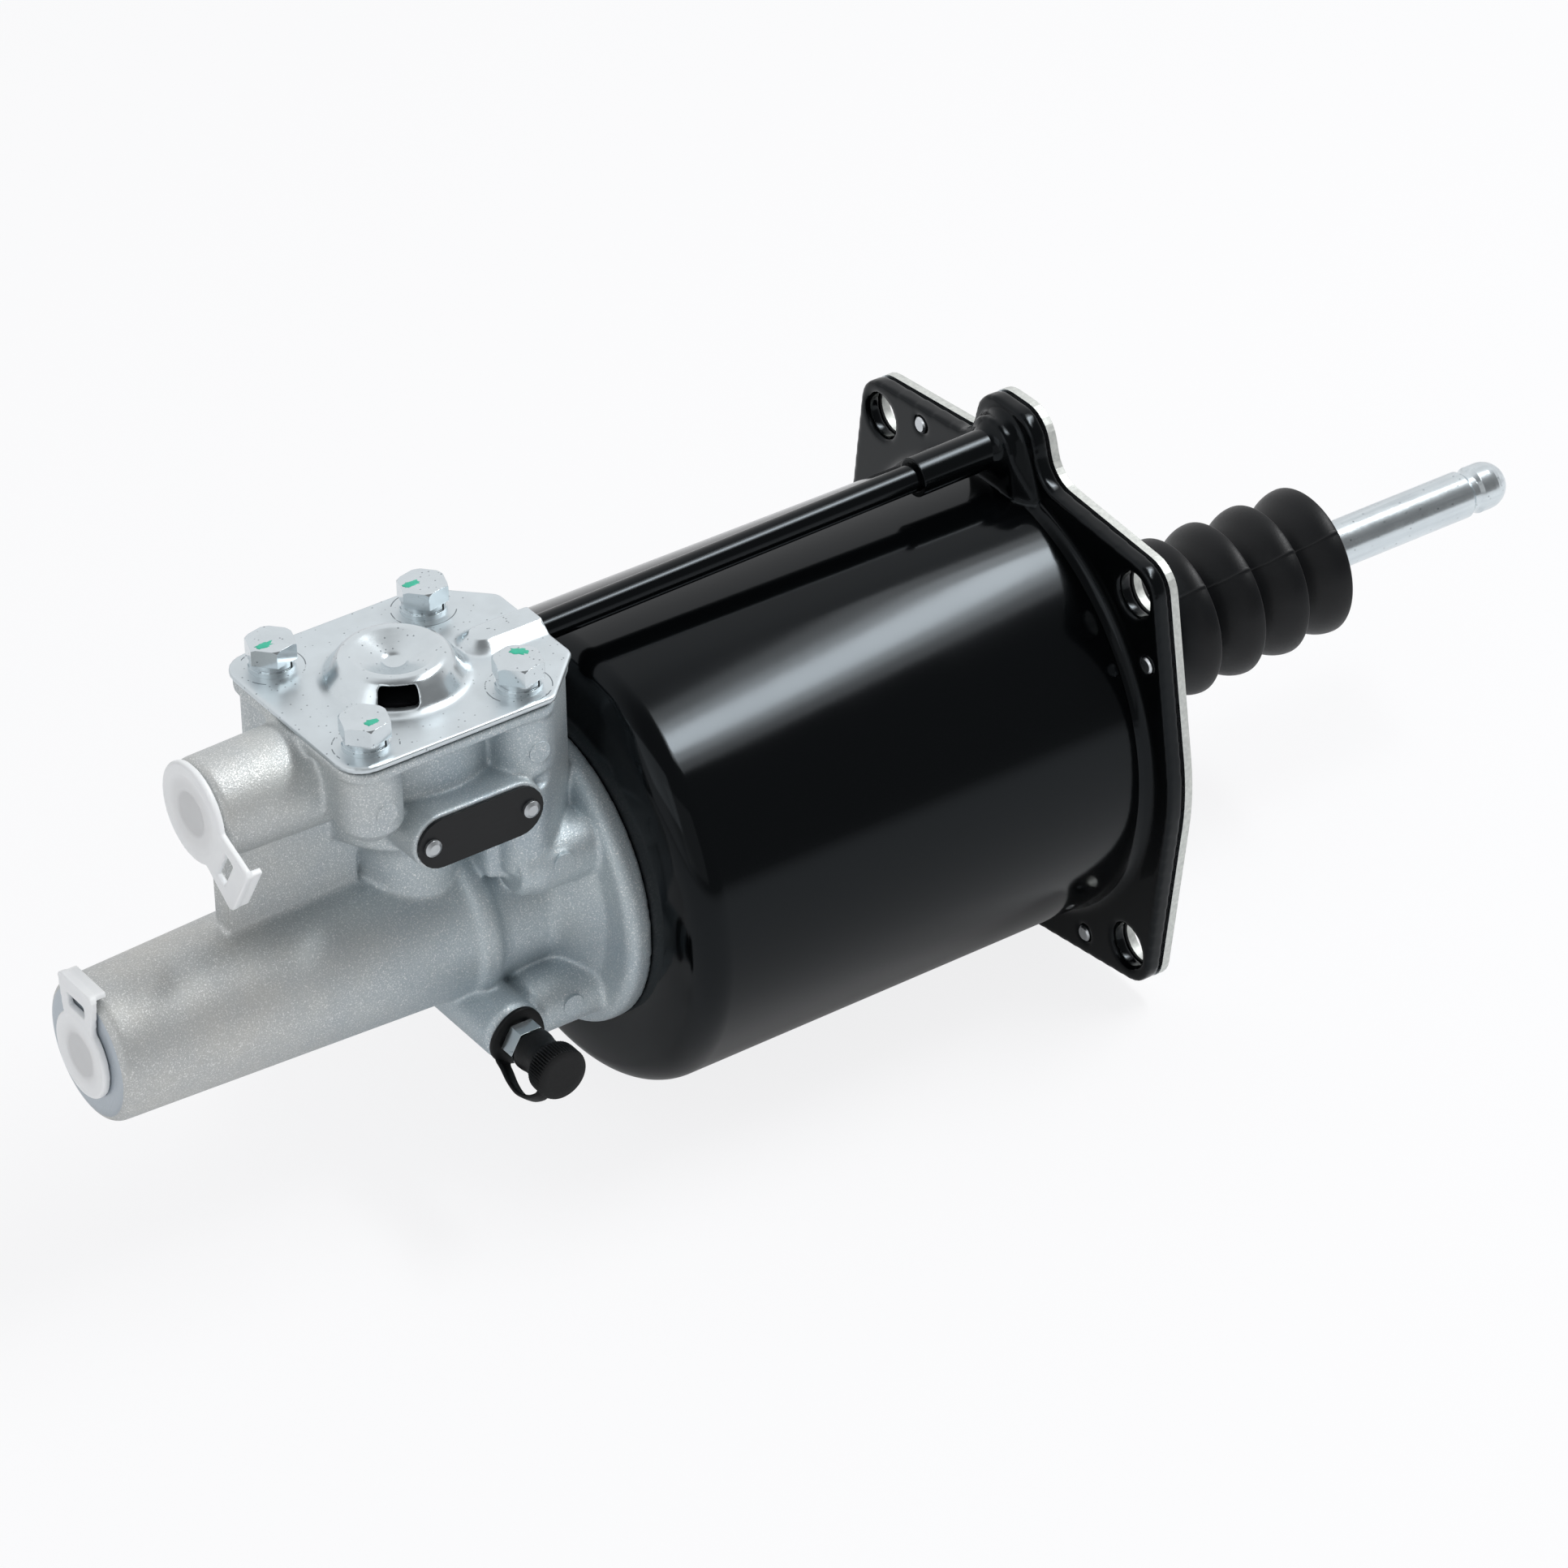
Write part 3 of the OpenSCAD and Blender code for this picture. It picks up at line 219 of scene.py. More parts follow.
def surface(add, shader, tone=None, rough=None, bump=None):
    """Drives the shader by patterns: tone is (pattern, dark, light), rough is (pattern, low, high), and bump is
    (pattern, strength, depth, radius that sharp edges seem to have), with the last two in millimetres."""
    if tone:
        pattern, dark, light = tone
        link(shader, {"Base Color": add("Mix", {"data_type": "RGBA", 6: dark, 7: light}, {0: pattern})})
    if rough:
        pattern, low, high = rough
        link(shader, {"Roughness": add("MapRange", {"To Min": low, "To Max": high}, {"Value": pattern})})
    if bump:
        pattern, strength, depth, edge = bump
        relief = add("Bump", {"Strength": strength, "Distance": depth * MM}, {"Height": pattern})
        if edge:
            link(relief, {"Normal": add("Bevel", {"samples": 6, "Radius": edge * MM})})
        link(shader, {"Normal": relief})


# Finishes


def shot_blasted_aluminium(colour, grit):
    # Die-cast aluminium, shot-blasted after trimming: a dull light grey, with painted glints, brighter grains for the
    # sparks that its small dimples catch
    finish, add, shader, where = new_finish("shot_blasted_aluminium", {"Metallic": 0.85, "Specular IOR Level": 0.3})
    # The two port faces behind the plugs are machined: smoother, brighter and a little bluer
    facing = add("SeparateXYZ", None, {0: where.node.outputs["Normal"]})
    along = add("SeparateXYZ", None, {0: where})
    square = add("Math", {"operation": "LESS_THAN", 1: -0.93}, {0: facing.outputs["X"]})
    port = add("Math", {"operation": "LESS_THAN", 1: PORTS_X * MM}, {0: along.outputs["X"]})
    machined = add("Math", {"operation": "MULTIPLY"}, {0: square, 1: port})
    cloud = add("TexNoise", {"Scale": per_mm(16), "Detail": 5.0, "Roughness": 0.6}, {"Vector": where})
    grain = add("TexNoise", {"Scale": 1 / grit, "Detail": 2.0, "Roughness": 0.7}, {"Vector": where})
    pits = add("TexVoronoi", {"Scale": 0.5 / grit, "Randomness": 1.0}, {"Vector": where})
    dull, clear = (rgba([c * s for c, s in zip(colour, shades)]) for shades in ((0.7, 0.76, 0.83), (1.02, 1.01, 0.98)))
    tone = add("Mix", {"data_type": "RGBA", 6: dull, 7: clear}, {0: cloud})
    # Painted shade: the blasted wall is tinted a little bluer on the valve body than on the hydraulic cylinder, the
    # cool tint of its shaded web and neck
    towards = add("MapRange", {"From Min": PORTS_X * MM, "From Max": VALVE_BACK_X * MM}, {"Value": along.outputs["X"]})
    cast = add("Mix", {"data_type": "RGBA", 6: (1.0, 0.99, 0.965, 1.0), 7: (0.86, 0.95, 1.0, 1.0)}, {0: towards})
    tone = add("Mix", {"data_type": "RGBA", "blend_type": "MULTIPLY", 0: 1.0}, {6: tone, 7: cast})
    # Painted glints: random grains get a brighter colour
    spark = add("MapRange", {"From Min": 0.54, "From Max": 0.68, "To Max": 0.8}, {"Value": grain})
    bright = add("Mix", {"data_type": "RGBA", 7: rgba(colour, 1.4)}, {0: spark, 6: tone})
    base = add("Mix", {"data_type": "RGBA", 7: rgba(linear("#B3BBC2"))}, {0: machined, 6: bright})
    rough = add("MapRange", {"From Min": 0.3, "From Max": 0.7, "To Min": 0.68, "To Max": 0.46}, {"Value": grain})
    gloss = add("Mix", {"data_type": "FLOAT", 3: 0.3}, {0: machined, 2: rough})
    link(shader, {"Base Color": base, "Roughness": gloss})
    height = add("Math", {"operation": "MULTIPLY_ADD", 1: 0.35}, {0: pits, 2: grain})
    surface(add, shader, bump=(height, 0.8, 0.09, 0))
    return finish


def marking_paint(colour):
    # Fast-drying marking lacquer, dabbed on by hand: opaque and half-glossy, thinner towards its edge
    finish, add, shader, where = new_finish("marking_lacquer", {"Metallic": 0.0, "IOR": 1.5})
    brush = add("TexNoise", {"Scale": per_mm(0.7), "Detail": 3.0}, {"Vector": where})
    surface(add, shader, (brush, rgba(colour, 0.8), rgba(colour, 1.15)), (brush, 0.3, 0.5), (brush, 0.6, 0.05, 0))
    return finish


def baked_enamel(colour, name="baked_black_enamel", roughness=0.1, peel=0.003):
    # Black stoving enamel on pressed steel: a hard mirror-like gloss with the faint orange peel of spraying
    finish, add, shader, where = new_finish(name, {
        "Base Color": rgba(colour), "Metallic": 0.0, "IOR": 1.5, "Specular IOR Level": 0.19,
        "Specular Tint": (0.84, 0.93, 1.0, 1.0)})
    skin = add("TexNoise", {"Scale": per_mm(3.2), "Detail": 1.0}, {"Vector": where})
    haze = add("TexNoise", {"Scale": per_mm(22), "Detail": 3.0}, {"Vector": where})
    surface(add, shader, rough=(haze, roughness * 0.8, roughness * 1.35), bump=(skin, 1.0, peel, 0.5))
    return finish


def bright_zinc(colour, name, roughness, sheared=False, ringed=False, handled=False):
    # Blue-passivated zinc over rolled steel: bright and faintly blue, with dark specks and handling marks
    finish, add, shader, where = new_finish(name, {"Metallic": 1.0})
    cloud = add("TexNoise", {"Scale": per_mm(7), "Detail": 6.0, "Roughness": 0.65}, {"Vector": where})
    speck = add("TexVoronoi", {"Scale": per_mm(1.7), "Randomness": 1.0}, {"Vector": where})
    fine = add("TexNoise", {"Scale": per_mm(1.1), "Detail": 4.0}, {"Vector": where})
    tone = add("Mix", {"data_type": "RGBA", 6: rgba(colour, 0.82), 7: rgba(colour, 1.04)}, {0: cloud})
    dot = add("MapRange", {"From Min": 0.06, "From Max": 0.15, "To Min": 0.8, "To Max": 0.0}, {"Value": speck})
    base = add("Mix", {"data_type": "RGBA", 7: rgba(linear("#5E666C"))}, {0: dot, 6: tone})
    gloss = add("MapRange", {"From Min": 0.3, "From Max": 0.7, "To Min": roughness * 0.88,
                             "To Max": roughness * 1.2}, {"Value": cloud})
    if ringed:
        # A washer that turned left a fine scratched ring around each screw
        fold = add("VectorMath", {"operation": "SUBTRACT", 1: (VALVE_X * MM, 0, 0)}, {0: where})
        fold = add("VectorMath", {"operation": "ABSOLUTE"}, {0: fold})
        fold = add("VectorMath", {"operation": "SUBTRACT", 1: (SCREW_X * MM, SCREW_Y * MM, 0)}, {0: fold})
        flat = add("VectorMath", {"operation": "MULTIPLY", 1: (1, 1, 0)}, {0: fold})
        away = add("VectorMath", {"operation": "LENGTH"}, {0: flat})
        line = add("Math", {"operation": "COMPARE", 1: SCRATCH_R * MM, 2: SCRATCH_HALF * MM}, {0: away})
        worn = add("Math", {"operation": "GREATER_THAN", 1: 0.5}, {0: cloud})
        mark = add("Math", {"operation": "MULTIPLY"}, {0: line, 1: worn})
        base = add("Mix", {"data_type": "RGBA", 7: rgba(linear("#7E858A"))}, {0: mark, 6: base})
        # Where the sheet was drawn over the tool its plating is smoother than on the flat
        level = add("SeparateXYZ", None, {0: where})
        drawn = add("MapRange", {"From Min": (COVER_TOP + 0.2) * MM, "From Max": (COVER_TOP + 1.4) * MM,
                                 "To Min": 1.5, "To Max": 0.85}, {"Value": level.outputs["Z"]})
        gloss = add("Math", {"operation": "MULTIPLY"}, {0: gloss, 1: drawn})
    if handled:
        # Drawn bar: faint streaks along the rod
        drawn = add("Mapping", {"Scale": (0.06, 1.0, 1.0)}, {"Vector": where})
        streak = add("TexNoise", {"Scale": per_mm(1.2), "Detail": 3.0}, {"Vector": drawn})
        tint = add("MapRange", {"From Min": 0.35, "From Max": 0.65, "To Max": 0.3}, {"Value": streak})
        base = add("Mix", {"data_type": "RGBA", 7: rgba(linear("#A9B2B8"))}, {0: tint, 6: base})
    if sheared:
        # The plate's blanked edge is paler and rough, with fine marks across it
        facing = add("SeparateXYZ", None, {0: where.node.outputs["Normal"]})
        flat = add("Math", {"operation": "ABSOLUTE"}, {0: facing.outputs["X"]})
        edge = add("Math", {"operation": "LESS_THAN", 1: 0.4}, {0: flat})
        marks = add("TexNoise", {"Scale": per_mm(0.9), "Detail": 2.0}, {"Vector": where})
        torn = add("Mix", {"data_type": "RGBA", 6: rgba(linear("#B4B7B5")), 7: rgba(linear("#E6E8E4"))}, {0: marks})
        base = add("Mix", {"data_type": "RGBA"}, {0: edge, 6: base, 7: torn})
        gloss = add("Mix", {"data_type": "FLOAT", 3: 0.6}, {0: edge, 2: gloss})
    link(shader, {"Base Color": base, "Roughness": gloss})
    surface(add, shader, bump=(fine, 0.7, 0.012, 0.1))
    return finish


def moulded_rubber(colour, name="moulded_rubber", roughness=0.4):
    # Carbon-black nitrile rubber: a soft dull sheen over a fine moulded skin, a little dusty
    finish, add, shader, where = new_finish(name, {"Metallic": 0.0, "IOR": 1.52, "Specular IOR Level": 0.24})
    dust = add("TexNoise", {"Scale": per_mm(9), "Detail": 6.0, "Roughness": 0.7}, {"Vector": where})
    skin = add("TexNoise", {"Scale": per_mm(0.5), "Detail": 3.0}, {"Vector": where})
    surface(add, shader, (dust, rgba(colour, 0.6), rgba(colour, 1.5)), (skin, roughness * 0.8, roughness * 1.25),
            (skin, 0.5, 0.03, 0))
    return finish


def moulded_polyethylene(colour):
    # Natural low-density polyethylene: waxy white, and light passes a little way into it
    finish, add, shader, where = new_finish("moulded_polyethylene", {
        "Metallic": 0.0, "IOR": 1.51, "Subsurface Weight": 0.6, "Subsurface Radius": (1.0, 1.0, 1.0),
        "Subsurface Scale": 0.8 * MM, "Transmission Weight": 0.04})
    flow = add("TexNoise", {"Scale": per_mm(5), "Detail": 3.0}, {"Vector": where})
    surface(add, shader, (flow, rgba(colour, 0.96), rgba(colour, 1.03)), (flow, 0.28, 0.42), (flow, 0.4, 0.03, 0.25))
    return finish


def turned_metal(name, colour, roughness):
    # A lathe leaves fine rings, drawn wider than real so that they show, which spread the highlight
    finish, add, shader, where = new_finish(name, {"Metallic": 1.0, "Base Color": rgba(linear(colour))})
    rings = add("TexNoise", {"Scale": per_mm(2), "Detail": 5.0}, {"Vector": where})
    surface(add, shader, rough=(rings, roughness * 0.75, roughness * 1.3), bump=(rings, 0.4, 0.01, 0.2))
    return finish


def moulded_resin(name, colour, roughness):
    # Filled resin for guides and rings: even, slightly waxy, with a faint moulded grain
    finish, add, shader, where = new_finish(name, {"Metallic": 0.0, "IOR": 1.48, "Roughness": roughness})
    grain = add("TexNoise", {"Scale": per_mm(1.2), "Detail": 3.0}, {"Vector": where})
    surface(add, shader, (grain, rgba(linear(colour), 0.85), rgba(linear(colour), 1.05)), bump=(grain, 0.3, 0.02, 0.2))
    return finish


def anodised_plate():
    # Black anodised aluminium sheet: deep satin black with fine rolling lines along its length
    finish, add, shader, where = new_finish("black_anodised_sheet",
                                            {"Metallic": 0.0, "IOR": 1.5, "Specular IOR Level": 0.25})
    stretch = add("Mapping", {"Scale": (0.12, 1.0, 1.0)}, {"Vector": where})
    lines = add("TexNoise", {"Scale": per_mm(0.4), "Detail": 3.0}, {"Vector": stretch})
    surface(add, shader, (lines, rgba(linear("#08090B")), rgba(linear("#131518"))), (lines, 0.28, 0.42),
            (lines, 0.4, 0.01, 0.2))
    return finish


# Meshes

AXES = {  # at 0 degrees, at 90 degrees, along the axis
    "X": ((0, 0, 1), (0, -1, 0), (1, 0, 0)),
    "-Y": ((0, 0, 1), (-1, 0, 0), (0, -1, 0)),
    "Z": ((1, 0, 0), (0, 1, 0), (0, 0, 1)),
}


def placed(name, mesh):
    """A new object with that mesh, in the scene."""
    piece = bpy.data.objects.new(name, mesh)
    bpy.context.scene.collection.objects.link(piece)
    return piece


def points_of(mesh):
    """The places of a mesh's points, in metres, one row each."""
    place = np.empty(len(mesh.vertices) * 3)
    mesh.vertices.foreach_get("co", place)
    return place.reshape(-1, 3)


def move_points(mesh, place):
    """Puts a mesh's points at those places."""
    mesh.vertices.foreach_set("co", place.ravel())
    mesh.update()


def add_meshes(mesh, *others):
    """Adds the other meshes' faces to a mesh."""
    shape = bmesh.new()
    for part in (mesh, *others):
        shape.from_mesh(part)
    shape.to_mesh(mesh)
    shape.free()


def tube_faces(rows, columns, closed=False):
    """Faces between rows of points that each run round; the last row meets the first, or either end gets a cap."""
    faces = [(i * columns + j, i * columns + (j + 1) % columns, (i + 1) % rows * columns + (j + 1) % columns,
              (i + 1) % rows * columns + j) for i in range(rows if closed else rows - 1) for j in range(columns)]
    if not closed:
        faces += [tuple(range(columns)), tuple((rows - 1) * columns + j for j in range(columns))]
    return faces


def solid(name, points, faces):
    """A closed mesh from points in millimetres, with its faces turned outwards."""
    mesh = bpy.data.meshes.new(name)
    mesh.from_pydata([tuple(p) for p in np.asarray(points) * MM], [], faces)
    shape = bmesh.new()
    shape.from_mesh(mesh)
    bmesh.ops.remove_doubles(shape, verts=shape.verts, dist=0.001 * MM)
    bmesh.ops.recalc_face_normals(shape, faces=shape.faces)
    shape.to_mesh(mesh)
    shape.free()
    return mesh


def turned(name, outline, axis="X", centre=(0, 0, 0), angles=None, form=None):
    """A body turned about an axis from a closed outline of (radius, place) in millimetres; form may alter it."""
    angles = np.radians(np.arange(0, 360, 2.5) if angles is None else angles)
    radius, along = np.array(outline, float).T
    turn = np.repeat(angles[:, None], len(radius), axis=1)
    radius, along = (np.repeat([row], len(angles), axis=0) for row in (radius, along))
    drop = np.zeros_like(radius)
    if form:
        radius, along, drop = form(turn, radius, along)
    first, second, third = (np.array(v, float) for v in AXES[axis])
    points = (np.array(centre) + (radius * np.cos(turn))[..., None] * first
              + (radius * np.sin(turn))[..., None] * second + along[..., None] * third
              - drop[..., None] * np.array((0.0, 0.0, 1.0)))
    return solid(name, points.reshape(-1, 3), tube_faces(*radius.shape, closed=True))


def arc(centre_r, centre_x, radius, first, last, steps=12):
    """Points (radius, place) on an arc; 0 degrees points away from the axis and 90 along it."""
    turn = np.radians(np.linspace(first, last, steps + 1))
    return [(centre_r + radius * math.cos(t), centre_x + radius * math.sin(t)) for t in turn]


def ribbon(path, across, half_width, half_thick):
    """Points and faces of a flat band with rounded edges along a path; across is the direction of its width."""
    path, across = np.array(path, float), np.array(across, float)
    ahead = np.gradient(path, axis=0)
    ahead /= np.linalg.norm(ahead, axis=1)[:, None]
    out = np.cross(ahead, across)
    turn = np.radians(np.arange(0, 360, 30))
    wide, thick = (np.sign(side) * np.abs(side) ** power for side, power in ((np.cos(turn), 0.4), (np.sin(turn), 0.6)))
    half_width = np.broadcast_to(half_width, len(path))
    points = (path[:, None] + (half_width[:, None] * wide)[..., None] * across
              + (half_thick * thick)[None, :, None] * out[:, None])
    return points.reshape(-1, 3), tube_faces(len(path), len(turn))


def curve_through(points, steps=8):
    """A smooth path through the given points."""
    points = np.array(points, float)
    ends = np.vstack([2 * points[0] - points[1], points, 2 * points[-1] - points[-2]])
    path = [0.5 * (2 * q + (r - p) * t + (2 * p - 5 * q + 4 * r - s) * t ** 2 + (3 * q - p - 3 * r + s) * t ** 3)
            for p, q, r, s in zip(ends, ends[1:], ends[2:], ends[3:]) for t in np.arange(steps) / steps]
    return np.array(path + [points[-1]])


def dress(finish, *nodes):
    """Gives CAD nodes their finish."""
    for name in nodes:
        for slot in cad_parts[name].material_slots:
            slot.material = finish


def reskinned(piece, cell):
    """Rebuilds a piece's surface from small cells, which joins what overlaps."""
    skin = piece.modifiers.new("skin", "REMESH")
    skin.mode, skin.voxel_size, skin.use_smooth_shade = "VOXEL", cell, True
    seen = piece.evaluated_get(bpy.context.evaluated_depsgraph_get())
    mesh = bpy.data.meshes.new_from_object(seen)
    piece.modifiers.clear()
    piece.data = mesh
    return piece


def rounded_off(piece, fillets, rounding, before=2):
    """Evens the mesh over some passes, fills inside corners over others and rounds every corner over the last, as a
    tool or a die leaves them."""
    mesh = piece.data
    count = len(mesh.vertices)
    place, ends = points_of(mesh), np.empty(len(mesh.edges) * 2, int)
    mesh.edges.foreach_get("vertices", ends)
    a, b = ends.reshape(-1, 2).T
    links = (np.bincount(a, minlength=count) + np.bincount(b, minlength=count))[:, None]
    cell = np.linalg.norm(place[a] - place[b], axis=1).mean()
    hollow_least, others_share = 0.025 * cell, 0.05
    for step in range(before + fillets + rounding):
        near = np.stack([np.bincount(a, place[b, k], count) + np.bincount(b, place[a, k], count) for k in range(3)], 1)
        pull = near / links - place
        if before <= step < before + fillets:
            normals = np.empty(count * 3)
            mesh.vertices.foreach_get("normal", normals)
            hollow = (pull * normals.reshape(-1, 3)).sum(1) > hollow_least
            pull *= np.where(hollow, 1.0, others_share)[:, None]
        place = place + 0.5 * pull
        move_points(mesh, place)


def copy_of(node, name):
    """A copy of a CAD node's mesh as a new piece."""
    piece = placed(name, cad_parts[node].data.copy())
    piece.data.materials.clear()
    return piece


def finish_piece(piece, finish, slot, body, *nodes, crease=None):
    """Gives a made piece its finish, the body it rides on and the CAD nodes it stands for; its slot is not used."""
    piece.data.materials.clear()
    piece.data.materials.append(finish)
    piece.data.polygons.foreach_set("use_smooth", [True] * len(piece.data.polygons))
    if crease:
        piece.data.set_sharp_from_angle(angle=math.radians(crease))
    if body:
        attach(piece, body)
    if nodes:
        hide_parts(*nodes)


# Pieces


class SERVO_OT_valve_housing(Operator):
    """Makes the die-cast valve housing"""
    bl_idname = "servo.valve_housing"
    bl_label = "Valve housing"

    def execute(self, context):
        colours, casting = context.scene.servo_colours, context.scene.servo_casting
        piece = copy_of("valve_housing", "housing_casting")
        # The two lugs on the side that faces -Y run out of the disc as round bars
        bar = ([(0, LUG_BACK)] + arc(LUG_R - LUG_EDGE, LUG_BACK + LUG_EDGE, LUG_EDGE, -90, 0, 8)
               + [(LUG_R, LUG_FRONT), (0, LUG_FRONT)])
        lugs = [turned("lug", bar, centre=(0, -LUG_AT, z)) for z in (LUG_AT, -LUG_AT)]
        # The screw boss above the upper lug runs down into it
        post = [(0, LUG_AT), (LUG_R - 1.6, LUG_AT), (LUG_R - 1.6, BOSS_TOP), (0, BOSS_TOP)]
        add_meshes(piece.data, *lugs, turned("boss", post, "Z", centre=(VALVE_X + SCREW_X, -LUG_AT, 0)))
        reskinned(piece, casting.skin)
        rounded_off(piece, casting.fillets, casting.rounding)
        aluminium = shot_blasted_aluminium(colours.casting, casting.grit)
        finish_piece(piece, aluminium, "casting", "servo", "valve_housing")
        # Ejector pins leave flat discs on the bosses: place along X, height, face of the boss
        marks = ((VALVE_X - SCREW_X, 50.0, 25.7), (VALVE_X + SCREW_X, 50.5, 25.7), (-142.5, 20.0, 25.9),
                 (-141.5, -17.8, 25.9))
        for k, (x, z, face) in enumerate(marks):
            top = face + 2 * EJECTOR_STEP
            disc = [(0, face - 1), (EJECTOR_R, face - 1), (EJECTOR_R, face + EJECTOR_STEP),
                    (EJECTOR_R - EJECTOR_STEP, top), (0, top)]
            mark = placed(f"ejector_mark_{k + 1}", turned(f"ejector_mark_{k + 1}", disc, "-Y", (x, 0, z)))
            finish_piece(mark, aluminium, "casting", "servo", crease=30)
        return {"FINISHED"}


class SERVO_OT_air_cylinder(Operator):
    """Makes the air cylinder and its flange, and finishes the sleeve, the breather pipe and the seals"""
    bl_idname = "servo.air_cylinder"
    bl_label = "Air cylinder and pipe"

    def execute(self, context):
        colours = context.scene.servo_colours
        enamel = baked_enamel(colours.enamel)
        finish_piece(self.drawn_can(), enamel, "black_paint", "servo", "air_cylinder", crease=40)
        finish_piece(self.flange(), enamel, "black_paint", "servo", "air_cylinder")
        dress(baked_enamel(colours.enamel, "enamelled_tube", 0.12, 0.004), "pipe_sleeve", "breather_pipe")
        dress(moulded_rubber(colours.rubber, "gasket_sheet", 0.7), "flange_seal", "cover_gasket")
        return {"FINISHED"}

    def drawn_can(self):
        # Deep-drawn wall, rolled shoulder and a slightly domed end, open where the housing's spigot goes in
        outside = arc(CAN_R - SHOULDER, CAN_BACK, SHOULDER, 0, -SHOULDER_TURN, 40)
        r0, x0 = outside[-1]
        dome = [(r0 + (DISC_R - r0) * t, x0 + (CAN_END - x0) * (1 - (1 - t) ** 2)) for t in np.linspace(0, 1, 21)[1:]]
        wall = CAN_R - CAN_BORE_R
        end = [(SPIGOT_R, CAN_END), (SPIGOT_R, CAN_END + wall), (DISC_R, CAN_END + wall)]
        inside = arc(CAN_R - SHOULDER, CAN_BACK, SHOULDER - wall, -SHOULDER_TURN, 0)
        outline = [(CAN_R, CAN_FRONT)] + outside + dome + end + inside + [(CAN_BORE_R, CAN_FRONT)]
        return placed("drawn_can", turned("drawn_can", outline, angles=np.arange(0, 360, 0.9)))

    def flange(self):
        # The square flange and its air duct are one pressing, with soft radii where the sheet is drawn
        piece = copy_of("air_cylinder", "pressed_flange")
        shape = bmesh.new()
        shape.from_mesh(piece.data)
        bmesh.ops.remove_doubles(shape, verts=shape.verts, dist=0.001 * MM)
        cut = bmesh.ops.bisect_plane(shape, geom=shape.verts[:] + shape.edges[:] + shape.faces[:], dist=1e-7,
                                     plane_co=(FLANGE_BACK * MM, 0, 0), plane_no=(-1, 0, 0), clear_outer=True)
        bmesh.ops.bridge_loops(shape, edges=[e for e in cut["geom_cut"] if isinstance(e, bmesh.types.BMEdge)])
        # Fillet where the duct is drawn up to the sleeve
        bore, foot, rise, sunk = 4.1, 7.4, 3, DUCT_FACE + 1.5
        fillet = ([(bore, sunk), (bore, DUCT_FACE - rise)]
                  + [(foot - 2.7 * math.cos(t), DUCT_FACE - rise + rise * math.sin(t))
                     for t in np.radians(np.arange(0, 91, 15))] + [(foot, sunk)])
        shape.from_mesh(turned("draw", fillet, centre=(0, 0, SLEEVE_Z - 0.4)))
        bmesh.ops.recalc_face_normals(shape, faces=shape.faces)
        shape.to_mesh(piece.data)
        shape.free()
        reskinned(piece, FLANGE_CELL * MM)
        rounded_off(piece, 3, 2)
        # The stub that the can covers is set just inside it
        place = points_of(piece.data)
        radius = np.hypot(place[:, 1], place[:, 2])
        stub = (place[:, 0] < STUB_BACK * MM) & (np.abs(radius - CAN_R * MM) < STUB_REACH * MM)
        place[stub, 1:] *= ((CAN_R - STUB_CLEAR) * MM / radius[stub])[:, None]
        move_points(piece.data, place)
        return piece


class SERVO_OT_front_plate(Operator):
    """Finishes the plated front plate and its rivets"""
    bl_idname = "servo.front_plate"
    bl_label = "Front plate"

    def execute(self, context):
        colours = context.scene.servo_colours
        dress(bright_zinc(colours.zinc, "zinc_plated_sheet", 0.27, sheared=True), "front_plate")
        dress(turned_metal("drawn_steel_rivets", "#C9CDD0", 0.3), "plate_rivets")
        return {"FINISHED"}


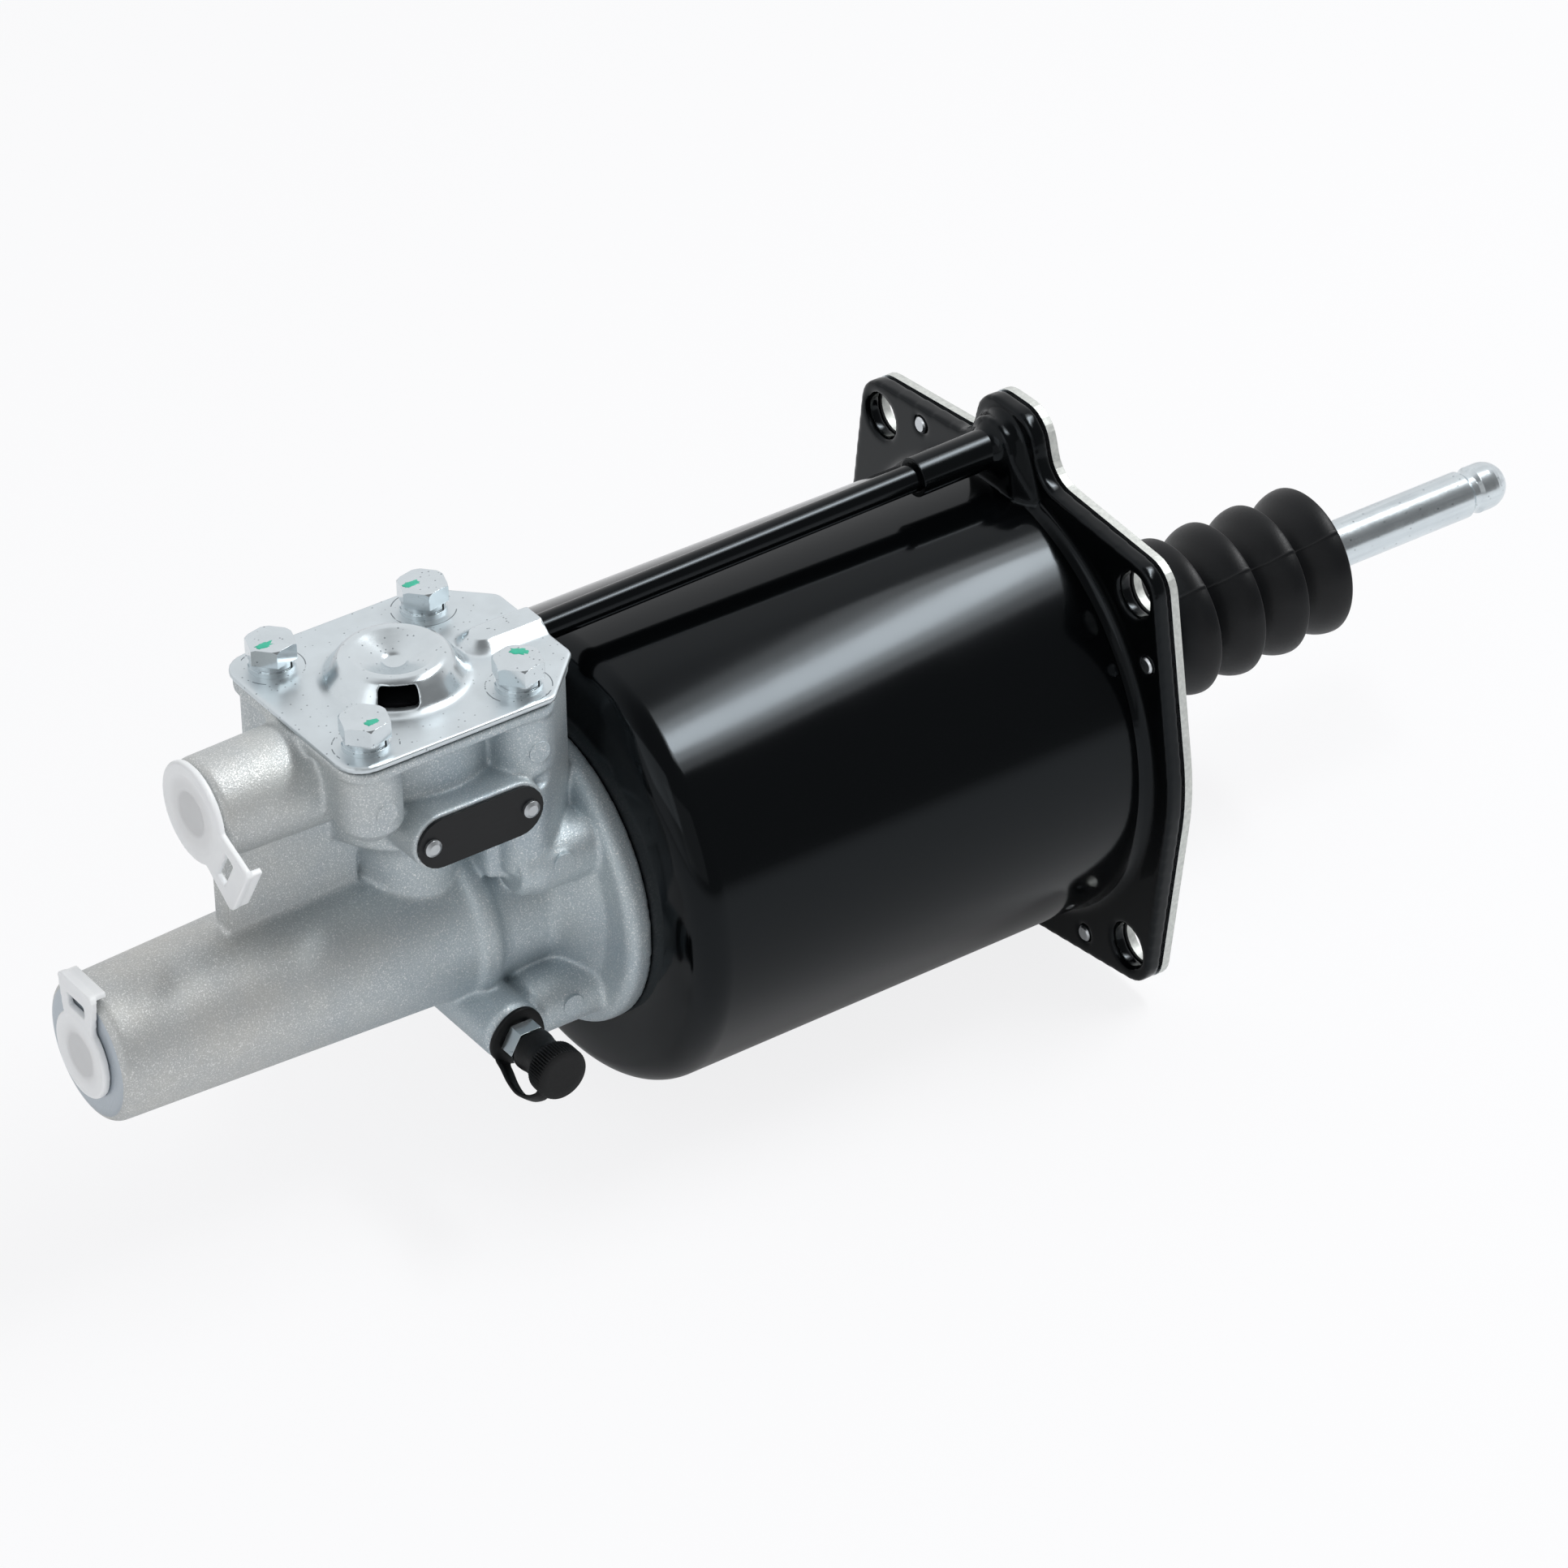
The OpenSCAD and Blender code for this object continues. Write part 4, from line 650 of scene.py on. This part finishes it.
class SERVO_OT_push_rod(Operator):
    """Finishes the push rod and makes the rubber boot over it"""
    bl_idname = "servo.push_rod"
    bl_label = "Push rod and boot"

    def execute(self, context):
        colours = context.scene.servo_colours
        dress(bright_zinc(colours.zinc, "zinc_plated_rod", 0.2, handled=True), "push_rod")
        rubber = moulded_rubber(colours.rubber)
        # The cuff grips the plate's collar and narrows to the first valley
        cuff = [(COLLAR_R + 2.6, -0.3), (COLLAR_R + 2.6, COLLAR_H + 0.6), (COLLAR_R + 2, COLLAR_H + 1.6),
                (BOOT_ROOT + 5.5, COLLAR_H + 3.4), (BOOT_ROOT + 1.8, COLLAR_H + 5.6), (BOOT_ROOT, COLLAR_H + 7.5)]
        cuff_inside = [(BOOT_ROOT - NECK_WALL, COLLAR_H + 7.8), (BOOT_ROOT + 0.9, COLLAR_H + 5),
                       (BOOT_ROOT + 4.6, COLLAR_H + 2.6), (COLLAR_R + 0.95, COLLAR_H + 0.3),
                       (COLLAR_R + 0.9, COLLAR_H - 0.1), (COLLAR_R + 0.1, COLLAR_H - 1.5), (COLLAR_R + 0.1, -0.3)]
        # The lip grips the rod
        lip = [(self.crest_r(4) - 1.5, BOOT_END + 0.05), (BOOT_ROOT + 1, BOOT_END - 5.5),
               (BOOT_ROOT - 1.5, BOOT_END - 7), (ROD_R + 1.2, BOOT_END - 6.8), (ROD_R + 0.3, BOOT_END - 7.4),
               (ROD_R + 0.3, BOOT_END - 10.2), (ROD_R + 1.2, BOOT_END - 10.8), (BOOT_ROOT - NECK_WALL, BOOT_END - 10.8)]
        # The boot is made in two halves, which meet at a seam
        seam = self.crest_x(2) + 2.9
        back = (cuff + self.outside(0, 3) + [(BOOT_ROOT, seam), (BOOT_ROOT - NECK_WALL, seam)] + self.inside(0, 3)
                + cuff_inside)
        # The front half starts inside the back one, and is thinner there by this much on either side
        tuck, thin = seam - 0.8, 0.03
        front = ([(BOOT_ROOT - thin, tuck)] + self.outside(3, 5)[:-3] + lip + self.inside(3, 4)
                 + [(BOOT_ROOT - NECK_WALL + thin, tuck)])
        for name, outline, bodies, reach in (("boot_back", back, ("servo", "piston"), (9, seam - 1)),
                                             ("boot_front", front, ("piston", "rod"), (seam, BOOT_END - 8))):
            piece = placed(name, turned(name, outline, angles=self.angles(), form=self.moulded))
            finish_piece(piece, rubber, "rubber", None, "dust_boot", crease=50)
            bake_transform(piece)
        return {"FINISHED"}

    def crest_x(self, i):
        return BOOT_END - (BOOT_CRESTS - 1 - i) * BOOT_PITCH

    def crest_r(self, i):
        return bpy.context.scene.servo_rubber.crest / MM - 1.5 * i / (BOOT_CRESTS - 1)

    def outside(self, first, last):
        """Each rib flares towards the rod's end to a thin rounded rim and drops back into its valley."""
        path = []
        for i in range(first, last):
            x, r = self.crest_x(i), self.crest_r(i)
            for t in np.linspace(0, 1, 15):
                # A fine moulded step runs round the rib a little past the valley
                step = 0.18 if t < 0.2 else 0.0
                path.append((BOOT_ROOT + (r - BOOT_ROOT) * math.sin(math.pi / 2 * t) - step * t / 0.2,
                             x - BOOT_PITCH * FLARE * (1 - t)))
            path += arc(r - RIM_R, x, RIM_R, 20, 120, 4)
            path += [(BOOT_ROOT + 2.6, x + 1.0), (BOOT_ROOT + 1.2, x + 1.5), (BOOT_ROOT + 0.3, x + 2.4)]
        return path

    def inside(self, first, last):
        """The same ribs from within, one wall further in and in the other direction."""
        wall = bpy.context.scene.servo_rubber.wall / MM
        path = []
        for i in range(first, last):
            x, r = self.crest_x(i), self.crest_r(i) - wall
            path += [(BOOT_ROOT - wall + (r - BOOT_ROOT) * math.sin(math.pi / 2 * t) * 0.97,
                      x - BOOT_PITCH * FLARE * (1 - t) + 0.4) for t in np.linspace(0, 0.85, 7)]
            path += [(r - 0.6, x - 0.5), (BOOT_ROOT + 2.6 - wall, x + 0.3), (BOOT_ROOT + 0.4 - wall, x + 1.5)]
        return path[::-1]

    def angles(self):
        """Columns around the boot, with close ones at the mould's two parting lines."""
        parting = [PARTING + half + d for half in (0, 180) for d in (-0.9, 0, 0.9)]
        return sorted([a for a in np.arange(0, 360, 2.5) if all(abs(a - p) > 1.2 for p in parting)] + parting)

    def moulded(self, turn, radius, along):
        """The parting line's thin flash, and the sag of the ribs."""
        on_line = np.isclose(np.degrees(turn) % 180, PARTING, atol=0.1)
        skin = radius > 11.7
        radius = radius + np.where(on_line & skin, FLASH, 0.0)
        reach = np.clip((along - 8) / (BOOT_END - 8), 0, 1)
        # The ribs hang, while the valleys stay clear of the rod as it swings
        sag = bpy.context.scene.servo_rubber.sag / MM * np.interp(radius, (8, 12.2, 16), (0, 0.3, 1))
        return radius, along, sag * np.sin(np.pi * np.clip(reach * 0.82, 0, 1))


class SERVO_OT_valve_cover(Operator):
    """Makes the pressed valve cover and finishes its washers, screws and rubber flap"""
    bl_idname = "servo.valve_cover"
    bl_label = "Valve cover"

    def execute(self, context):
        colours = context.scene.servo_colours
        cover = reskinned(copy_of("valve_cover", "pressed_cover"), COVER_CELL * MM)
        self.press(cover.data)
        rounded_off(cover, 4, 2)
        plating = bright_zinc(colours.zinc, "zinc_plated_pressing", 0.26, ringed=True)
        finish_piece(cover, plating, "zinc", "servo", "valve_cover")
        dress(bright_zinc(colours.zinc, "zinc_plated_fasteners", 0.15), "cover_flat_washers", "cover_spring_washers",
              "cover_screws")
        dress(moulded_rubber(colours.rubber, "flap_rubber", 0.6), "exhaust_flap")
        self.dab_screws(marking_paint(colours.mark))
        return {"FINISHED"}

    def press(self, mesh):
        """Draws the dome's sides in, deepens its dish and gives the pipe's channel its roof and its round end."""
        place = points_of(mesh) / MM
        x, y, z = place[:, 0] - VALVE_X, place[:, 1], place[:, 2] - COVER_TOP
        radius = np.hypot(x, y)
        dome = radius < DOME_R + 0.4
        draw = 1 - DOME_DRAW * (np.clip(z / DOME_H, 0, 1) * dome)
        dish = np.where(dome & (z > 1), DISH_DEPTH * np.clip(1 - radius / DISH_R, 0, DISH_FLAT), 0)
        top = z.max()
        from_end = np.where(x < CHANNEL_END, np.hypot(x - CHANNEL_END, y), np.abs(y))
        round_end = np.sqrt(np.clip(1 - (np.clip(CHANNEL_END + 2 - x, 0, None) / CHANNEL_ROUND) ** 2, 0, 1))
        roof = np.minimum(top - CHANNEL_SLOPE * (from_end - 1.2), top * round_end)
        channel = ~dome & (z > 0.3) & (x > CHANNEL_START) & (np.abs(y) < CHANNEL_HALF)
        z = np.where(channel, np.minimum(z, np.maximum(roof, 0.3)), z - dish)
        move_points(mesh, np.stack([x * draw + VALVE_X, y * draw, z + COVER_TOP], 1) * MM)

    def dab_screws(self, paint):
        """A dab of paint on each head shows that it was tightened."""
        # Sides of the valve that the screw is on, place on its head, length, width, turn
        dabs = [((-1, -1), (0.3, -2.4), 3.2, 2.1, 0), ((1, -1), (1.7, 2.0), 4.0, 2.5, -40),
                ((-1, 1), (-2.3, -1.3), 3.9, 1.9, 4), ((1, 1), (-2.5, 0.7), 4.0, 1.8, 0)]
        rings = [(1.0, -0.05), (1.0, 0.03), (0.85, 0.09), (0.4, 0.12)]  # share of the width, height over the head
        rng = np.random.default_rng(7)
        for k, (side, spot, length, width, turn) in enumerate(dabs):
            angles = np.radians(np.arange(0, 360, 15))
            rough = 1 + 0.16 * rng.standard_normal(len(angles))
            x = length / 2 * np.cos(angles) * rough
            y = width / 2 * np.sign(np.sin(angles)) * np.abs(np.sin(angles)) ** 0.6 * rough
            c, s = math.cos(math.radians(turn)), math.sin(math.radians(turn))
            x, y = c * x - s * y, s * x + c * y
            centre = np.array((VALVE_X + side[0] * SCREW_X + spot[0], side[1] * SCREW_Y + spot[1], 0))
            points = [centre + np.stack([x * f, y * f, np.full_like(x, HEAD_TOP + z)], 1) for f, z in rings]
            mesh = solid("paint_dab", np.concatenate(points), tube_faces(len(rings), len(angles)))
            finish_piece(placed(f"paint_dab_{k + 1}", mesh), paint, "zinc", "servo")


class SERVO_OT_data_plate(Operator):
    """Finishes the bare data plate and its rivets"""
    bl_idname = "servo.data_plate"
    bl_label = "Data plate"

    def execute(self, context):
        dress(anodised_plate(), "data_plate")
        dress(turned_metal("aluminium_rivets", "#B8BCBF", 0.38), "data_plate_rivets")
        return {"FINISHED"}


class SERVO_OT_bleeder(Operator):
    """Makes the bleeder's rubber cap and strap, and finishes the bleed screw"""
    bl_idname = "servo.bleeder"
    bl_label = "Bleeder"

    def execute(self, context):
        colours = context.scene.servo_colours
        dress(bright_zinc(colours.zinc, "zinc_plated_bleeder", 0.22), "bleed_screw")
        rubber = moulded_rubber([c * 0.5 for c in colours.rubber], "cap_rubber", 0.5)
        centre = (BLEED_X, 0, BLEED_Z)
        ribs = context.scene.servo_rubber.knurl

        def knurled(turn, radius, along):
            grip = (radius > 5.93) & (along > 40.3)
            return radius - np.where(grip, 0.42 * (0.5 - 0.5 * np.cos(ribs * turn)) ** 1.3, 0), along, 0 * radius

        def lobed(turn, radius, along):
            return radius + np.where(radius > 5, 0.32 * np.cos(3 * turn + 0.9), 0), along, 0 * radius

        # Cap: a socket that flares to a knurled grip
        outline = [(3.5, 33.0), (4.7, 33.0), (4.95, 33.25), (4.9, 34.4), (4.6, 36), (4.65, 37.6), (5.0, 39), (5.6, 40),
                   (5.95, 40.35), (6.05, 40.8), (6.1, 41.4), (6.1, 43), (6.1, 44.4), (5.9, 44.8), (5.55, 45.0),
                   (4, 45.0), (0, 44.9), (0, 41), (3.5, 41)]
        cap = turned("knurled_cap", outline, "-Y", centre, np.arange(0, 360, 360 / (ribs * 6)), knurled)
        finish_piece(placed("knurled_cap", cap), rubber, "rubber", "cap", "bleed_cap", crease=60)

        # Strap: a thin ring under the hex and a band that loops up to the grip's rim
        outline = [(4.1, 26.75), (6.5, 26.75), (6.8, 27.0), (6.8, 27.8), (6.55, 28.05), (4.1, 28.05)]
        ring = turned("strap", outline, "-Y", centre, form=lobed)
        tilt = math.radians(STRAP_TILT)
        out = np.array((-math.cos(tilt), 0, -math.sin(tilt)))
        # Away from the bleeder's axis, and along it
        loop = curve_through([(5.3, 27.3), (6.5, 27.9), (7.3, 30.2), (8.6, 33.8), (9.2, 37.4), (8.4, 40.6),
                              (6.9, 42.5), (5.7, 42.9)])
        path = np.array(centre) + loop[:, :1] * out - loop[:, 1:] * np.array((0, 1, 0))
        half_width = np.interp(np.linspace(0, 1, len(path)), [0, 0.3, 0.6, 1], [2.6, 2.0, 1.6, 1.8])
        add_meshes(ring, solid("band", *ribbon(path, np.cross(out, (0, 1, 0)), half_width, 0.5)))
        strap = placed("strap", ring)
        finish_piece(strap, rubber, "rubber", None, "cap_strap", crease=60)
        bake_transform(strap)
        return {"FINISHED"}


class SERVO_OT_plugs(Operator):
    """Makes the two transport plugs"""
    bl_idname = "servo.plugs"
    bl_label = "Transport plugs"

    def execute(self, context):
        finish = moulded_polyethylene(context.scene.servo_colours.plug)
        for node, body, height in (("inlet_plug", "oil_plug", 0.0), ("air_plug", "air_plug_body", AIR_PORT_Z)):
            piece = reskinned(copy_of(node, f"moulded_{node}"), PLUG_CELL * MM)
            rounded_off(piece, 2, 1, before=1)
            self.ring(piece.data, height)
            finish_piece(piece, finish, "plug_plastic", body, node)
        return {"FINISHED"}

    def ring(self, mesh, height):
        """Sinks the disc inside its rim, and again inside a moulded ring."""
        place = points_of(mesh)
        radius = np.hypot(place[:, 1], place[:, 2] - height * MM) / MM
        front = place[radius < 4, 0].min()
        face = place[:, 0] < front + 0.25 * MM
        sunk = 0.16 * (np.clip((9.4 - radius) / 0.6, 0, 1) + np.clip((5.6 - radius) / 0.6, 0, 1))
        place[:, 0] += np.where(face, sunk, 0) * MM
        move_points(mesh, place)


class SERVO_OT_insides(Operator):
    """Finishes the pieces inside the servo and puts a finished copy in place of each spring"""
    bl_idname = "servo.insides"
    bl_label = "Pieces inside"

    def execute(self, context):
        rubber = moulded_rubber(context.scene.servo_colours.rubber, "seal_rubber", 0.45)
        oiled = turned_metal("oiled_spring_steel", "#6C7075", 0.3)
        wire = turned_metal("stainless_wire", "#B5B9BD", 0.25)
        dress(turned_metal("machined_aluminium", "#C3C6C9", 0.32), "power_piston", "relay_piston")
        dress(turned_metal("ground_steel", "#C8CBCF", 0.16), "hydraulic_plunger")
        dress(turned_metal("rolled_thread_steel", "#A9AEB3", 0.35), "cylinder_bolts")
        dress(turned_metal("turned_brass", "#D6B46A", 0.28), "gland_bush", "valve_seat")
        dress(oiled, "gland_circlip", "guide_circlip")
        dress(rubber, "piston_lip_seal", "gland_seal", "spigot_seal", "relay_seals", "poppet_valve")
        dress(moulded_resin("filled_ptfe", "#D9D2BE", 0.45), "piston_guide_ring")
        dress(moulded_resin("white_acetal", "#E9E8E2", 0.38), "rod_retainer", "poppet_guide")
        for node, finish, bodies, axis in (("preload_spring", oiled, ("servo", "piston"), 0),
                                           ("relay_spring", wire, ("relay", "servo"), 2),
                                           ("poppet_spring", wire, ("poppet", "servo"), 2)):
            low, high = (Vector(corner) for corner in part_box(node))
            start, end = (low + high) / 2, (low + high) / 2
            start[axis], end[axis] = low[axis], high[axis]
            spring = copy_of(node, f"{node}_coil")
            finish_piece(spring, finish, "steel", None, node, crease=60)
            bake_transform(spring)
        return {"FINISHED"}


# The camera's place, in millimetres from the aim along its own axes, and its turn in degrees
AIM_X, AWAY, ASIDE, UPWARDS = -6.5, 1541, -49.6, -23.5
TURN, RISE, ROLL = -34.75, 34.16, -0.88
LENS, SENSOR = 155.96, 36
LIT_SPOT = Vector((-0.06, 0.0, 0.0))
FLOOR_HALF, FLOOR_GAP = 6.0, 0.2 * MM
# Soft boxes: name, place, size, share of the key's power, colour.
# The key is three boxes, one behind the other, so that its reflection on the enamel has soft edges.
SOFT_BOXES = (("key_box", (0.55, -0.26, 1.15), (0.98, 0.34), 0.3, (1.0, 0.99, 0.98)),
              ("key_core", (0.558, -0.264, 1.167), (0.8, 0.21), 0.3, (0.97, 0.99, 1.0)),
              ("key_heart", (0.566, -0.268, 1.184), (0.6, 0.11), 0.3, (0.95, 0.98, 1.0)),
              ("side_box", (-1.3, -0.5, 0.9), (0.9, 0.9), 0.2, (0.97, 0.99, 1.0)),
              ("front_box", (-0.95, -1.2, 0.6), (1.2, 1.0), 0.1, (1.0, 0.99, 0.98)))


class SERVO_OT_stage(Operator):
    """Sets the floor, the room, the lights and the camera"""
    bl_idname = "servo.stage"
    bl_label = "Studio"

    def execute(self, context):
        context.scene.view_settings.view_transform = "Standard"
        stage = context.scene.servo_stage
        self.floor(stage)
        self.room(context.scene, stage)
        self.lights(stage)
        self.camera(context.scene)
        return {"FINISHED"}

    def rays(self, add):
        """Whether the camera sees a ray, and whether gloss or clear plastic does."""
        path = add("LightPath")
        return path.outputs["Is Camera Ray"], add("Math", {"operation": "MAXIMUM"}, {
            0: path.outputs["Is Glossy Ray"], 1: path.outputs["Is Transmission Ray"]})

    def floor(self, stage):
        # Floor, just under the flange
        low = CAD_BOX[0].z - FLOOR_GAP
        mesh = bpy.data.meshes.new("floor")
        mesh.from_pydata([(x * FLOOR_HALF, y * FLOOR_HALF, low) for x, y in ((-1, -1), (1, -1), (1, 1), (-1, 1))], [],
                         [(0, 1, 2, 3)])
        placed("floor", mesh)
        paper, add, shader, _ = new_finish("paper_floor", {"Base Color": rgba(stage.floor), "Roughness": 0.85})
        mesh.materials.append(paper)
        # To the camera and in gloss the paper is nearly the white of the room, and keeps some of the shadow
        camera, mirrored = self.rays(add)
        seen = add("Math", {"operation": "MULTIPLY", 1: 0.86}, {0: camera})
        share = add("Math", {"operation": "MULTIPLY_ADD", 1: 0.12}, {0: mirrored, 2: seen})
        white = add("Emission", {"Color": rgba(stage.floor), "Strength": 1.0})
        both = add("MixShader", None, {0: share, 1: shader, 2: white})
        link(paper.node_tree.nodes["Material Output"], {"Surface": both})

    def room(self, scene, stage):
        # The room gives the floor and the reflections their white, and lights the object evenly
        scene.world = bpy.data.worlds.new("studio_room")
        scene.world.use_nodes = True
        scene.world.node_tree.nodes.clear()
        add = partial(add_node, scene.world.node_tree)
        camera, mirrored = self.rays(add)
        # It is darker behind the camera, which gives gloss and bare metal their contrast
        look = add("TexCoord")
        side = add("VectorMath", {"operation": "DOT_PRODUCT", 1: (0.0, -0.77, 0.64)}, {0: look.outputs["Generated"]})
        shade = add("MapRange", {"interpolation_type": "SMOOTHSTEP", "From Min": 0.25, "From Max": 0.75,
                                 "To Min": 1.0, "To Max": stage.dark}, {"Value": side})
        gloss = add("Mix", {"data_type": "FLOAT", 2: stage.fill}, {0: mirrored, 3: shade})
        level = add("Mix", {"data_type": "FLOAT", 3: 1.0}, {0: camera, 2: gloss})
        light = add("Background", {"Color": rgba(stage.floor)}, {"Strength": level})
        add("OutputWorld", None, {"Surface": light})

    def lights(self, stage):
        for name, place, size, share, colour in SOFT_BOXES:
            lamp = bpy.data.lights.new(name, "AREA")
            lamp.shape, lamp.size, lamp.size_y = "RECTANGLE", *size
            lamp.energy, lamp.color = stage.key * share, colour
            box = placed(name, lamp)
            box.location = place
            box.rotation_mode = "QUATERNION"
            box.rotation_quaternion = (LIT_SPOT - Vector(place)).to_track_quat("-Z", "Y")

    def camera(self, scene):
        # At the angle that the servo was photographed from
        turn, rise, roll = (math.radians(angle) for angle in (TURN, RISE, ROLL))
        back = Vector((math.sin(turn) * math.cos(rise), -math.cos(turn) * math.cos(rise), math.sin(rise)))
        right = Vector((0, 0, 1)).cross(back).normalized()
        up = back.cross(right)
        right, up = (right * math.cos(roll) + up * math.sin(roll), up * math.cos(roll) - right * math.sin(roll))
        camera = placed("camera", bpy.data.cameras.new("camera"))
        camera.data.lens, camera.data.sensor_width = LENS, SENSOR
        camera.data.clip_start, camera.data.clip_end = 0.05, 30
        place = (back * AWAY + right * ASIDE + up * UPWARDS + Vector((AIM_X, 0, 0))) * MM
        camera.matrix_world = Matrix.Translation(place) @ Matrix((right, up, back)).transposed().to_4x4()
        scene.camera = camera


OPERATORS = (SERVO_OT_valve_housing, SERVO_OT_air_cylinder, SERVO_OT_front_plate, SERVO_OT_push_rod,
             SERVO_OT_valve_cover, SERVO_OT_data_plate, SERVO_OT_bleeder, SERVO_OT_plugs, SERVO_OT_insides,
             SERVO_OT_stage)
GROUPS = {"servo_colours": ServoColours, "servo_casting": ServoCasting, "servo_rubber": ServoRubber,
          "servo_stage": ServoStage}


class SERVO_PT_sidebar(Panel):
    """Lists the servo's settings and its pieces"""
    bl_idname = "SERVO_PT_sidebar"
    bl_label = "Clutch servo"
    bl_space_type = "VIEW_3D"
    bl_region_type = "UI"
    bl_category = "Clutch servo"

    def draw(self, context):
        for group in (getattr(context.scene, name) for name in GROUPS):
            box = self.layout.box()
            for name in group.bl_rna.properties.keys():
                if name not in ("rna_type", "name"):
                    box.prop(group, name)
        for operator in OPERATORS:
            self.layout.operator(operator.bl_idname)


CLASSES = (*GROUPS.values(), *OPERATORS, SERVO_PT_sidebar)


def register():
    for made in CLASSES:
        bpy.utils.register_class(made)
    for name, group in GROUPS.items():
        setattr(bpy.types.Scene, name, PointerProperty(type=group))


def unregister():
    for name in GROUPS:
        delattr(bpy.types.Scene, name)
    for made in reversed(CLASSES):
        bpy.utils.unregister_class(made)


def main():
    register()
    for operator in OPERATORS:
        group, name = operator.bl_idname.split(".")
        getattr(getattr(bpy.ops, group), name)()


if __name__ == "__main__":
    main()
